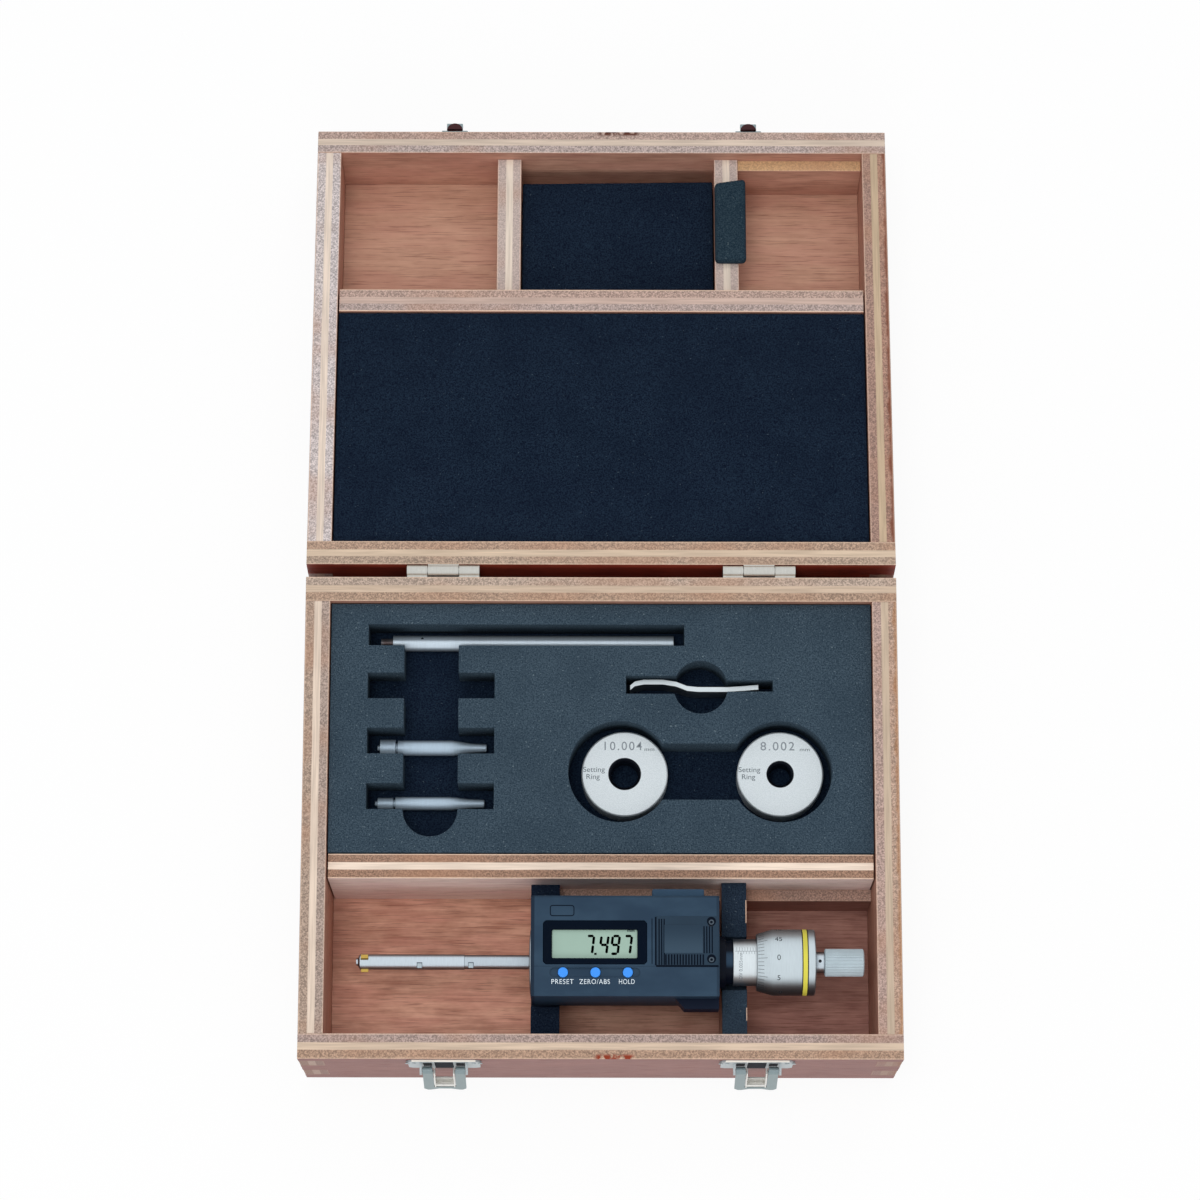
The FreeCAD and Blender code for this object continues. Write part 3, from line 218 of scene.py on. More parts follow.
class Finish:
    """A material under construction."""

    def __init__(self, name, **sockets):
        self.material = bpy.data.materials.new(name)
        self.material.use_nodes = True
        self.tree = self.material.node_tree
        self.shader = next(n for n in self.tree.nodes if n.type == "BSDF_PRINCIPLED")
        for socket, value in sockets.items():
            self.shader.inputs[socket.replace("_", " ")].default_value = value

    def node(self, kind, settings, sockets, output=0):
        """Adds a node: its settings first, then the value or wire of each socket."""
        made = self.tree.nodes.new("ShaderNode" + kind)
        for key, value in settings.items():
            setattr(made, key, value)
        for key, value in sockets.items():
            if isinstance(value, Wire):
                self.tree.links.new(value.socket, made.inputs[key])
            else:
                made.inputs[key].default_value = value
        return Wire(self, made.outputs[output])

    def mix(self, factor, first, second):
        """A mix of two colours, which are sockets 6 and 7 of the Mix node; its colour comes out of output 2."""
        return self.node("Mix", {"data_type": "RGBA"}, {0: factor, 6: first, 7: second}, 2)

    def noise(self, place, scale, detail=2.0, roughness=0.5):
        """A noise on coordinates in millimetres, scaled by one number or by one for each axis."""
        stretch = scale if isinstance(scale, tuple) else (scale, scale, scale)
        vector = self.node("VectorMath", {"operation": "MULTIPLY"}, {0: place, 1: stretch})
        return self.node("TexNoise", {}, {"Vector": vector, "Scale": 1.0, "Detail": detail,
                                                    "Roughness": roughness})

    def axis(self, vector, letter):
        return self.node("SeparateXYZ", {}, {0: vector}, "XYZ".index(letter))

    def place(self, shut=None):
        """Object coordinates in millimetres; in the lid they are turned back to where it is shut."""
        vector = self.node("TexCoord", {}, {}, "Object")
        settings = {"Vector": vector, "Scale": (1000, 1000, 1000)}
        if shut:
            settings["Rotation"], settings["Location"] = shut
        return self.node("Mapping", {}, settings)

    def facing(self, shut=None):
        """The direction of the surface, turned in the same way."""
        vector = self.node("TexCoord", {}, {}, "Normal")
        if not shut:
            return vector
        return self.node("Mapping", {"vector_type": "VECTOR"}, {"Vector": vector, "Rotation": shut[0]})

    def grazing(self):
        """How far the surface turns away from the viewer, from 0 to 1."""
        return self.node("LayerWeight", {}, {"Blend": 0.5}, "Facing")

    def bump(self, height, strength, distance):
        """Feeds a height in millimetres to the shader's Normal."""
        self.feed("Normal", self.node("Bump", {}, {"Height": height, "Strength": strength,
                                                             "Distance": distance * MM}))

    def feed(self, socket, wire):
        self.tree.links.new(wire.socket, self.shader.inputs[socket])


def rgb(red, green, blue):
    def linear(value):
        value /= 255
        return value / 12.92 if value <= 0.04045 else ((value + 0.055) / 1.055) ** 2.4
    return (linear(red), linear(green), linear(blue), 1.0)


WALL = 9.2
LID_TURN = math.radians(186.6783491)     # from shut to laid back on the table
HINGE = Vector((0, 92.5, 54.0))
shut_turn = Matrix.Rotation(LID_TURN, 3, "X")
SHUT = ((LID_TURN, 0, 0), tuple(HINGE - shut_turn @ HINGE))
LEFT_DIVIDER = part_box("lid_dividers")[0][0] / MM
RIGHT_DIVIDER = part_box("lid_dividers")[1][0] / MM - WALL
print("the lid is laid back by", round(math.degrees(LID_TURN), 2), "degrees")

# %% [markdown]
# The shells are five-layer plywood.  On a sawn edge it shows a pale face veneer, a brown layer of end grain, a
# cream middle layer, another brown layer and the second veneer.  On a face it shows only reddish veneer with
# streaks and open pores.  One solid pattern does both: the depth below the board's face picks the layer, and
# the direction of the surface tells a face from an edge.

# %% Plywood
def shade(colour, part):
    return rgb(*[min(255, value * part) for value in colour])


PORE = (96, 58, 48)
TAN = (178, 132, 104)
SKIN = (232, 202, 178)
SAWN = (138, 96, 84)


def plywood(name, across, start, end, grain, shut=None, face=(206, 158, 136), dark=(158, 112, 94), outside=None,
            rind=0.4, edges=((172, 147, 132), (206, 183, 161), (174, 147, 132)), twin=None, scorch=None,
            shade_beyond=None, stain=None, crumb=(0.76, 1.15)):
    """Plywood whose layers lie across one axis between two places, with veneer grain along another axis.

    Shut turns the pattern of a board in the lid.  Face and dark are the veneer's tones, and outside is the side
    with another pair.  Rind is how pale the outer veneers' edges are.  Edges are the colours of the three layers
    between them, from the low side up.  A twin is the start of a second board in the same node.  A scorch is the
    middle, half length and colour of burn marks on the low outer edge.  Shade beyond is the X beyond which
    painted shade makes the veneer darker and more red; painted shade also darkens it towards the front wall.  A
    stain is a colour and its share along the high outer edge.  Crumb is how dark and how bright the end grain's
    specks are.
    """
    finish = Finish(name, Coat_Weight=0.04, Coat_Roughness=0.4, Specular_IOR_Level=0.3)
    place = finish.place(shut)
    across_place = finish.axis(place, across)
    if twin:
        across_place = across_place - (across_place > (end + twin) / 2) * (twin - start)
    wobble = finish.noise(place, 0.05) - 0.5
    depth = (across_place - start) / (end - start) + wobble * 0.03
    flat = abs(finish.axis(finish.facing(shut), across)).smooth(0.55, 0.8)

    def along(run, cross):
        return tuple(run if letter == grain else cross for letter in "XYZ")

    broad = finish.noise(place, along(0.008, 0.05), 2.0)
    streak = finish.noise(place, along(0.045, 0.95), 4.0, 0.62)
    mottle = finish.noise(place, along(0.07, 0.16), 3.0, 0.6)
    tone = (streak * 0.5 + mottle * 0.5 + broad * 0.4 - 0.2).smooth(0.2, 0.8)
    blush = finish.noise(place, along(0.03, 0.14), 3.0).smooth(0.42, 0.64)
    pink = tuple(value * part for value, part in zip(face, (0.92, 0.82, 0.85)))
    veneer = finish.mix(blush * 0.3, finish.mix(tone, rgb(*dark), rgb(*face)), rgb(*pink))
    # painted shade: beyond the given X the veneer is darker and more red, and it also darkens towards the front
    # wall
    if shade_beyond:
        right = finish.axis(place, "X").smooth(shade_beyond - 24, shade_beyond + 16) * 0.75
        front = (1 - finish.axis(place, "Y").smooth(-84, -54)) * 0.3
        shaded_veneer = finish.mix(tone, rgb(110, 72, 68), rgb(162, 116, 108))
        veneer = finish.mix(right + front * (1 - right), veneer, shaded_veneer)
    if outside:
        edge, pale, deep = outside
        outer = (across_place * edge).smooth(abs(start + end) / 2 - 1, abs(start + end) / 2 + 1)
        veneer = finish.mix(outer, veneer, finish.mix(tone, rgb(*deep), rgb(*pale)))
    pore = finish.noise(place, along(0.08, 2.4), 3.0, 0.6).smooth(0.53, 0.68)
    veneer = finish.mix(pore * 0.45, veneer, rgb(*PORE))

    low, cream, high = edges
    crumbs = finish.noise(place, 1.6, 3.0, 0.75).smooth(0.36, 0.66)
    patch = finish.noise(place, (0.03, 0.05, 0.05), 2.0)
    layers = [finish.mix(crumbs, *(shade(colour, part) for part in crumb)) for colour in (low, high)]
    brown = finish.mix(depth.smooth(0.45, 0.55), *layers)
    brown = finish.mix(patch.smooth(0.48, 0.74) * 0.4, brown, rgb(*TAN))
    if stain:
        colour, share = stain
        ragged = finish.noise(place, 0.16, 3.0)
        brown = finish.mix((depth + ragged * 0.3 - 0.15).smooth(0.8, 0.95) * share, brown, rgb(*colour))
    edge_colour = brown
    if cream:
        silk = finish.noise(place, along(0.05, 1.3), 3.0)
        core = finish.mix(silk.smooth(0.3, 0.7), shade(cream, 0.93), shade(cream, 1.05))
        core = finish.mix(patch.smooth(0.4, 0.7) * 0.25, core, shade(cream, 0.86))
        edge_colour = finish.mix(depth.smooth(0.345, 0.375) - depth.smooth(0.64, 0.67), brown, core)
    skin = 1 - (depth.smooth(0.035, 0.06) - depth.smooth(0.94, 0.965))
    edge_colour = finish.mix(skin * rind, edge_colour, rgb(*SKIN))
    sawn = abs(finish.axis(finish.facing(shut), grain)).smooth(0.6, 0.8)
    edge_colour = finish.mix(sawn * 0.6, edge_colour, rgb(*SAWN))
    if scorch:
        here, half, char = scorch
        burnt = finish.noise(place, 0.35, 2.0).smooth(0.38, 0.5)
        mark = 1 - abs(finish.axis(place, grain) - here).smooth(half * 0.7, half)
        mark = mark * (1 - depth.smooth(0.1, 0.24)) * (1 - finish.axis(place, "Z").smooth(60, 70))
        edge_colour = finish.mix(mark * burnt, edge_colour, rgb(*char))
    finish.feed("Base Color", finish.mix(flat, edge_colour, veneer))
    finish.feed("Roughness", 0.64 - flat * 0.12 + pore * flat * 0.2)
    finish.bump(flat * (streak * 0.25 - pore * 0.6) + (1 - flat) * (crumbs * 0.4), 0.3, 0.12)
    return finish.material


FRONT, BACK = (-90, -80.8), (80.8, 90)
LEFT, RIGHT = (-110, -100.8), (100.8, 110)
MIDDLE = (-23.2, -14)
OUTER = ((149, 99, 90), (127, 80, 74))
VARNISHED = ((150, 62, 44), (92, 30, 22))
# painted light: the divider's veneer is written paler to stand in for the light on its front face
PAINTED_LIGHT_PALE = {"face": (250, 234, 226), "dark": (232, 208, 198)}
LID_FLOOR = {"face": (202, 158, 134), "dark": (166, 122, 101)}
boards = {
    "base_front_panel": plywood(
        "Front wall plywood", "Y", *FRONT, "X", outside=(-1, *OUTER),
        edges=((173, 143, 122), (209, 186, 164), (169, 148, 140)), scorch=(5, 8, (138, 52, 28))),
    "base_back_panel": plywood(
        "Back wall plywood", "Y", *BACK, "X", outside=(1, *VARNISHED),
        edges=((171, 144, 124), (202, 179, 157), (180, 160, 145))),
    "base_left_panel": plywood(
        "Left wall plywood", "X", *LEFT, "Y", outside=(-1, *OUTER),
        edges=((171, 149, 133), (222, 202, 184), (168, 149, 138))),
    "base_right_panel": plywood(
        "Right wall plywood", "X", *RIGHT, "Y", outside=(1, *OUTER),
        edges=((178, 152, 142), (196, 175, 153), (182, 154, 136)), stain=((158, 106, 60), 0.55)),
    # painted light: the bottom's veneer is written lighter than the other boards' to stand in for light in the
    # deep compartments
    "base_bottom_panel": plywood(
        "Bottom plywood", "Z", 0, 5.5, "X", face=(238, 188, 162), dark=(160, 108, 88), shade_beyond=52),
    "base_divider": plywood(
        "Divider plywood", "Y", *MIDDLE, "X", rind=0.8,
        edges=((156, 123, 103), (235, 215, 197), (156, 124, 105)), **PAINTED_LIGHT_PALE),
    "base_locating_strips": plywood(
        "Strip plywood", "Y", -27.6, -23.2, "X", shade_beyond=52, edges=((166, 136, 122), None, (166, 136, 122))),
    "left_cradle": plywood("Left cradle plywood", "X", -25, -15.8, "Y"),
    "right_cradle": plywood("Right cradle plywood", "X", 44.5, 53.7, "Y"),
    "lid_front_panel": plywood(
        "Lid front plywood", "Y", *FRONT, "X", SHUT, outside=(-1, *OUTER),
        edges=((180, 156, 145), (208, 189, 172), (179, 162, 156)), scorch=(6.5, 9, (84, 42, 28))),
    "lid_back_panel": plywood(
        "Lid back plywood", "Y", *BACK, "X", SHUT, outside=(1, *VARNISHED),
        edges=((175, 147, 127), (210, 187, 163), (174, 152, 134))),
    "lid_left_panel": plywood(
        "Lid left plywood", "X", *LEFT, "Y", SHUT, outside=(-1, *OUTER),
        edges=((202, 190, 187), (226, 208, 192), (200, 189, 187))),
    "lid_right_panel": plywood(
        "Lid right plywood", "X", *RIGHT, "Y", SHUT, outside=(1, *OUTER),
        edges=((162, 131, 118), (194, 170, 142), (166, 130, 114)), stain=((116, 62, 42), 0.85)),
    "lid_top_panel": plywood("Lid top plywood", "Z", 81.5, 87, "X", SHUT, outside=(1, *OUTER), **LID_FLOOR),
    "lid_rail": plywood(
        "Lid rail plywood", "Y", *MIDDLE, "X", SHUT, rind=0.8,
        edges=((180, 154, 142), (197, 171, 158), (177, 158, 151))),
    "lid_dividers": plywood(
        "Lid divider plywood", "X", LEFT_DIVIDER, LEFT_DIVIDER + WALL, "Y", SHUT,
        edges=((188, 170, 162), (222, 206, 190), (188, 170, 162)), twin=RIGHT_DIVIDER, crumb=(0.88, 1.08)),
    "lid_strips": plywood(
        "Lid strip plywood", "Y", -80.8, -76.4, "X", SHUT,
        edges=((196, 158, 118), None, (196, 158, 118)), crumb=(0.88, 1.08)),
}
print(len(boards), "plywood finishes")

# %% [markdown]
# The foam is a closed-cell polyethylene.  Its cells are well under a millimetre, so at this scale they show as
# speckle in colour and a fine unevenness in relief.

# %% Foam
def foam(name, dark, light, fleck, cell=1.9, flecks=0.70, paler=None):
    """Paler is the X beyond which the surface is rubbed, mostly in front, and the tint that it then has."""
    finish = Finish(name, Roughness=0.92, Specular_IOR_Level=0.08)
    place = finish.place()
    cells = finish.noise(place, cell, 3.0, 0.7)
    speckle = cells.smooth(0.35, 0.65)
    clouds = finish.noise(place, 0.06, 2.0)
    colour = finish.mix(speckle, rgb(*dark), rgb(*light))
    colour = finish.mix(clouds.smooth(0.35, 0.7) * 0.25, colour, rgb(*dark))
    if paler:
        start, tint = paler
        right = finish.axis(place, "X").smooth(start - 1, start + 1)
        front = 1 - finish.axis(place, "Y").smooth(-54, -44) * 0.6
        colour = finish.mix(right * front * (speckle * 0.4 + 0.35), colour, rgb(*tint))
    spots = finish.noise(place, 1.1, 1.0).smooth(flecks, flecks + 0.06)
    finish.feed("Base Color", finish.mix(spots * 0.7, colour, rgb(*fleck)))
    finish.bump(cells, 0.6, 0.25)
    return finish.material


grey_foam = foam("Grey foam", (36, 50, 62), (72, 88, 100), (112, 128, 136))
black_foam = foam("Black foam", (8, 16, 32), (30, 44, 60), (70, 84, 94), cell=1.8, flecks=0.74)
pad_foam = foam("Pad foam", (22, 38, 50), (48, 64, 74), (84, 98, 104))
felt = foam("Lining felt", (12, 20, 36), (34, 46, 62), (84, 96, 104), cell=2.0, paler=(30, (60, 76, 90)))
print("foam finishes:", grey_foam.name, black_foam.name, pad_foam.name, felt.name)

# %% [markdown]
# Metals differ mostly in how rough they are and in the direction of their marks.  Turned pieces have fine rings
# round their axis, so the roughness varies along X.  The latch sheet is pressed steel with a dull zinc finish.

# %% Metals
# painted reflection: this dark colour is painted where a turned piece turns away and on its front side
SHADED = (44, 50, 62)                    # what a turned piece reflects where it turns away
TURNED = ((3.0, 0.3, 0.3), 0.04, 0.002)  # fine rings: their scale, their share of roughness, their relief
PRESSED = (0.8, 0.8, 0.3)                # the scale of the marks on pressed sheet


def metal(name, colour, rough, stretch, streaks=0.12, relief=0.03, metallic=1.0, tarnished=None, grazing_shade=0.0,
          flank_shade=0.0):
    """Tarnished is the X up to which the surface is brown.  Grazing shade is how far a painted reflection
    darkens the surface where it turns away, and the last argument is how far painted shade darkens the side
    towards the front.
    """
    finish = Finish(name, Metallic=metallic)
    place = finish.place()
    marks = finish.noise(place, stretch, 3.0, 0.6)
    smudge = finish.noise(place, 0.12, 2.0)
    light = rgb(*colour)
    dull = tuple(v * 0.93 for v in light[:3]) + (1.0,)
    colour = finish.mix(marks.smooth(0.3, 0.7), dull, light)
    if tarnished:
        bare = 1 - finish.axis(place, "X").smooth(tarnished, tarnished + 0.2)
        colour = finish.mix(bare * (smudge.smooth(0.3, 0.7) * 0.4 + 0.6), colour, rgb(74, 46, 38))
    # painted reflection: darker where the surface turns away from the viewer
    if grazing_shade:
        colour = finish.mix(finish.grazing().smooth(0.12, 0.7) * grazing_shade, colour, rgb(*SHADED))
    # painted shade: darker on the side that faces the front
    if flank_shade:
        front = 1 - finish.axis(finish.facing(), "Y").smooth(-0.95, -0.5)
        colour = finish.mix(front * flank_shade, colour, rgb(*SHADED))
    finish.feed("Base Color", colour)
    finish.feed("Roughness", marks * streaks + smudge * 0.08 + (rough - 0.08))
    finish.bump(marks, 0.2, relief)
    return finish.material


turned_steel = metal("Turned steel", (218, 229, 236), 0.38, *TURNED, grazing_shade=0.8)
rod_steel = metal("Ground rod steel", (212, 226, 236), 0.36, *TURNED, 0.7, grazing_shade=0.6,
                  tarnished=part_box("extension_rod")[0][0] / MM + 4.4)
stem_steel = metal("Turned stem steel", (206, 217, 224), 0.38, *TURNED, grazing_shade=0.8)
head_steel = metal("Lapped head steel", (184, 203, 218), 0.48, *TURNED, 0.55, grazing_shade=0.5)
thimble_steel = metal("Satin chrome", (214, 225, 229), 0.42, (4.0, 0.2, 0.2), 0.04, 0.002, 0.9, grazing_shade=0.6,
                      flank_shade=0.75)
sleeve_steel = metal("Satin sleeve chrome", (238, 246, 248), 0.42, (4.0, 0.2, 0.2), 0.04, 0.002, 0.9,
                     grazing_shade=0.85)
ground_steel = metal("Ground steel", (228, 236, 238), 0.4, (3.0, 3.0, 0.3), 0.08, 0.01, 0.9, grazing_shade=0.6)
latch_steel = metal("Zinc plated steel", (150, 164, 166), 0.36, PRESSED, 0.16, 0.02, 0.9)
plate_steel = metal("Zinc plated sheet", (184, 192, 194), 0.42, PRESSED, 0.1, 0.01, 0.5)
bright_steel = metal("Bright pressed steel", (236, 234, 228), 0.3, PRESSED, 0.1, 0.02, 0.6)
hinge_steel = metal("Nickel plated steel", (212, 210, 202), 0.3, (2.0, 0.4, 0.4), 0.1, 0.01, 0.9)
# real black steel for the screws, also used as painted shade in the thimble's grooves and the neck's pin hole
black_steel_and_shade = metal("Blackened screw steel and painted shade", (34, 36, 42), 0.4, 2.0, metallic=0.5)
screw_bright = metal("Steel screw", (84, 96, 106), 0.45, 2.0, metallic=0.8)
gold_tip = metal("Coated contact", (214, 178, 92), 0.3, 2.0)

# %% [markdown]
# The chamfer of a setting ring's bore looks into the dark pocket, so a painted reflection makes it almost black
# from above.  Painted shade darkens the outer rim too.  The distance from the ring's axis picks both parts.

# %% Setting ring steel
RING_Y = 16.9
RING_TOP = 46.1
# each ring's size, bore, X of its axis, radius of its chamfer and width of its words
RINGS = (("large", "10.004", 8.8, 6.14, 13.9),
         ("small", "8.002", 66.4, 5.14, 12.6))


def ring_steel(name, x, reach):
    finish = Finish(name, Metallic=0.8)
    place = finish.place()
    across = finish.axis(place, "X") - x
    back = finish.axis(place, "Y") - RING_Y
    away = (across * across + back * back).sum("SQRT")
    marks = finish.noise(place, (3.0, 3.0, 0.3), 3.0, 0.6)
    # painted reflection in the bore's chamfer and painted shade on the outer rim
    bore = 1 - away.smooth(reach - 0.15, reach + 0.05)
    wall = away.smooth(16.3, 16.5) * 0.75
    plain = finish.mix(marks.smooth(0.3, 0.7), rgb(212, 220, 222), rgb(232, 238, 240))
    finish.feed("Base Color", finish.mix(bore + wall, plain, rgb(20, 24, 34)))
    finish.feed("Roughness", marks * 0.1 + 0.5 - bore * 0.2)
    finish.bump(marks, 0.15, 0.02)
    return finish.material


# %% [markdown]
# Moulded plastics get a fine spark-eroded texture: a little relief and an uneven sheen.  The display glass is
# smooth and the buttons are slightly glossy.

# %% Plastics
def plastic(name, colour, rough, grain=2.5, relief=0.04, coat=0.0, spread=0.12, shine=0.2):
    finish = Finish(name, Coat_Weight=coat, Coat_Roughness=0.1, Specular_IOR_Level=shine)
    place = finish.place()
    texture = finish.noise(place, grain, 2.0, 0.6)
    smudge = finish.noise(place, 0.09, 3.0)
    light = rgb(*colour)
    dull = tuple(v * (1 - spread) for v in light[:3]) + (1.0,)
    finish.feed("Base Color", finish.mix(smudge.smooth(0.3, 0.7), dull, light))
    finish.feed("Roughness", texture * 0.1 + smudge * 0.12 + (rough - 0.1))
    finish.bump(texture, 0.25, relief)
    return finish.material


cover_plastic = plastic("Slate battery cover", (36, 54, 70), 0.45)
# painted shadow: the dark colour of marks that stand for shade in grooves, wells, holes and behind the latches
painted_shadow = plastic("Groove shadow", (10, 18, 30), 0.6, shine=0.05)
bezel_plastic = plastic("Black bezel", (4, 14, 28), 0.3, shine=0.04)
cap_plastic = plastic("Connector cap rubber", (50, 74, 96), 0.6)
display_film = plastic("Display film", (158, 184, 170), 0.3, spread=0.05)
digit_ink = plastic("Display segments", (16, 30, 36), 0.4)
white_ink = plastic("White print", (222, 232, 238), 0.6)
black_ink = plastic("Black print", (48, 56, 62), 0.7)
ring_ink = plastic("Etched grey", (96, 106, 112), 0.7)
grey_ink = plastic("Engraved grey", (134, 142, 148), 0.6)
button_blue = plastic("Blue button", (66, 150, 246), 0.3, coat=0.15, spread=0.04)
band_yellow = plastic("Yellow band", (226, 216, 84), 0.35)
knob_grey = plastic("Grey knob", (184, 199, 206), 0.45)


def slate_housing(box):
    """The housing's slate plastic, with painted shade on its ends, lower front and fold; its collar is black
    with a painted highlight.
    """
    finish = Finish("Slate housing", Specular_IOR_Level=0.12)
    place = finish.place()
    along, back = finish.axis(place, "X"), finish.axis(place, "Y")
    (left, _, _), (right, _, _) = [[value / MM for value in corner] for corner in box]
    texture = finish.noise(place, 2.5, 2.0, 0.6)
    smudge = finish.noise(place, (0.05, 0.09, 0.09), 3.0)
    colour = finish.mix(smudge.smooth(0.3, 0.7), rgb(40, 58, 76), rgb(50, 70, 88))
    # painted shade: the ends, the lower front side and the fold where the top face turns down to the slope are
    # darker
    ends = 1 - along.smooth(left + 1.15, left + 1.45) + along.smooth(right - 1.1, right - 0.9) * 0.6
    flank_shade = 1 - back.smooth(AXIS_Y - 15.2, AXIS_Y - 14.8)
    crease = 1 - abs(back - (AXIS_Y - 4.5)).smooth(0.0, 0.35)
    colour = finish.mix(crease * 0.35, colour, rgb(20, 34, 48))
    colour = finish.mix(ends * 0.8, colour, rgb(20, 32, 46))
    colour = finish.mix(flank_shade, colour, rgb(12, 20, 36))
    collar = along.smooth(right + 0.2, right + 0.4)
    # painted highlight: the collar's upward face beyond its neck is lighter
    above = finish.axis(finish.facing(), "Z").smooth(0.9, 1.0)
    neck = along.smooth(right + 2.7, right + 2.9)
    black = finish.mix(above * neck, rgb(8, 14, 26), rgb(44, 64, 84))
    finish.feed("Base Color", finish.mix(collar, colour, black))
    finish.feed("Roughness", texture * 0.1 + smudge * 0.12 + 0.34)
    finish.bump(texture, 0.25, 0.04)
    return finish.material


def field_plastic(near, far):
    """The battery cover's middle has a painted sheen: its colour brightens towards its front edge."""
    finish = Finish("Slate cover field", Roughness=0.4, Specular_IOR_Level=0.2)
    place = finish.place()
    # painted sheen: lighter towards the front edge
    painted_sheen = finish.axis(place, "Y").smooth(near, far)
    texture = finish.noise(place, 2.5, 2.0, 0.6)
    finish.feed("Base Color", finish.mix(painted_sheen, rgb(52, 71, 87), rgb(34, 52, 68)))
    finish.bump(texture, 0.25, 0.04)
    return finish.material


# painted shade: the dark red colour that stands for the hollow of each catch's cup
hollow_shade = plastic("Dark red hollow shade", (60, 28, 30), 0.4)
dowel_rim = plastic("Dowel rim", (104, 114, 124), 0.6)
# painted highlight: a near-white colour for the latch plates' top edges
painted_edge_highlight = plastic("Painted edge highlight", (252, 248, 236), 0.4)
housing_plastic = slate_housing(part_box("readout_cover"))
print("materials:", len(bpy.data.materials))

# %% [markdown]
# The loaded nodes keep their shape.  Real edges are never quite sharp, so each node is welded and gets a small
# bevel as a live modifier, which leaves the node's own mesh as it was.

# %% Finishes and soft edges for the nodes
WOOD_EDGE = 0.25
node_finish = {name: (material, WOOD_EDGE) for name, material in boards.items()}
for size, _, x, reach, _ in RINGS:
    node_finish["setting_ring_" + size] = (ring_steel(size.title() + " ring steel", x, reach), 0.12)
for material, width, names in (
        (hinge_steel, 0.12, "hinge_base_leaves hinge_lid_leaves hinge_pins base_hinge_screws lid_hinge_screws"),
        (plate_steel, 0.12, "latch_plates latch_rivets"),
        (latch_steel, 0.12, "left_latch_lever right_latch_lever"),
        (bright_steel, 0.15, "left_latch_loop right_latch_loop"),
        (latch_steel, 0.25, "lid_catches"),
        (turned_steel, 0.15, "measuring_head spindle ratchet"),
        (rod_steel, 0.15, "extension_rod"),
        (thimble_steel, 0.2, "thimble"),
        (sleeve_steel, 0.2, "sleeve"),
        (stem_steel, 0.15, "stem"),
        (head_steel, 0.15, "spare_head_large spare_head_small"),
        (ground_steel, 0.12, "thimble_key"),
        (gold_tip, 0.1, "contact_pin_1 contact_pin_2 contact_pin_3"),
        (housing_plastic, 0.35, "readout_body readout_cover"),
        (cover_plastic, 0.15, "battery_cover"),
        (black_steel_and_shade, 0.1, "battery_cover_screws"),
        (cap_plastic, 0.5, "connector_cap"),
        (bezel_plastic, 0.45, "display_bezel"),
        (display_film, 0, "display_panel"),
        (button_blue, 0.35, "preset_button zero_button hold_button")):
    for name in names.split():
        node_finish[name] = (material, width)

for name, (material, width) in node_finish.items():
    node = nodes[name]
    node.data.materials.clear()
    node.data.materials.append(material)
    if not width:
        continue
    weld = node.modifiers.new("Weld", "WELD")
    weld.merge_threshold = 0.00001
    flatten = node.modifiers.new("Whole faces", "DECIMATE")
    flatten.decimate_type = "DISSOLVE"
    flatten.angle_limit = math.radians(0.5)
    bevel = node.modifiers.new("Soft edges", "BEVEL")
    bevel.width = width * MM
    bevel.segments = 2
    bevel.limit_method = "ANGLE"
    bevel.angle_limit = math.radians(35)
    even = node.modifiers.new("Even shading", "WEIGHTED_NORMAL")
    even.weight = 100
    for face in node.data.polygons:
        face.use_smooth = True
print("dressed", len(node_finish), "nodes")

# %% [markdown]
# The foam pieces are cut with a hot wire, so their edges are a little rounded.  Each one starts as a copy of its
# own solid, is merged and cleaned, and has its edges softened.


def foam_piece(name, node, body, material, slot, width, trim=None):
    piece = bpy.data.objects.new(name, nodes[node].data.copy())
    bpy.context.scene.collection.objects.link(piece)
    edit(piece, "VERT")
    bpy.ops.mesh.select_all(action="SELECT")
    bpy.ops.mesh.remove_doubles(threshold=0.00001)
    bpy.ops.mesh.dissolve_limited(angle_limit=math.radians(1))
    bpy.ops.mesh.normals_make_consistent(inside=False)
    leave_edit()
    if trim:
        trim(piece.data.vertices)
    softened(piece, width, 3)
    fitted(piece, body, material, slot, node)
    print(name, len(piece.data.polygons), "faces")


def cut_askew(left):
    """A trim that takes this much, in millimetres, off the left end of a pad's far edge."""
    def trim(vertices):
        low, high = (edge(v.co.x for v in vertices) for edge in (min, max))
        far = max(v.co.y for v in vertices)
        for vertex in vertices:
            if vertex.co.y > far - 2 * MM:
                share = (vertex.co.x - low) / (high - low)
                vertex.co.y -= left * (1 - share) * MM
    return trim


foam_piece("Foam_insert", "base_foam_insert", "base", grey_foam, "base_foam", 0.5)
foam_piece("Foam_underlay", "base_foam_underlay", "base", black_foam, "dark_foam", 0.4)
foam_piece("Lid_foam", "lid_foam_pad", "lid", black_foam, "dark_foam", 0.7)
foam_piece("Lid_small_foam", "lid_small_foam_pad", "lid", black_foam, "dark_foam", 0.8, cut_askew(0.9))
foam_piece("Clamp_pad", "lid_clamp_pad", "lid", pad_foam, "base_foam", 1.6, cut_askew(1.8))
foam_piece("Cradle_felt", "cradle_linings", "base", felt, "lining", 0.3)

# %% [markdown]
# The display shows its reading in seven-segment figures that lean to the right.  Each segment is a plane whose
# ends are cut to points.  A figure is a choice of segments, so a small table says which ones are dark.

# %% Display figures
SEGMENTS = {"7": "abc", "4": "bcfg", "9": "abcdfg"}
DISPLAY_Z = AXIS_Z + 18.5
FIGURE_HEIGHT = 6.5
FIGURE_WIDTH = 2.5
STROKE = 0.95


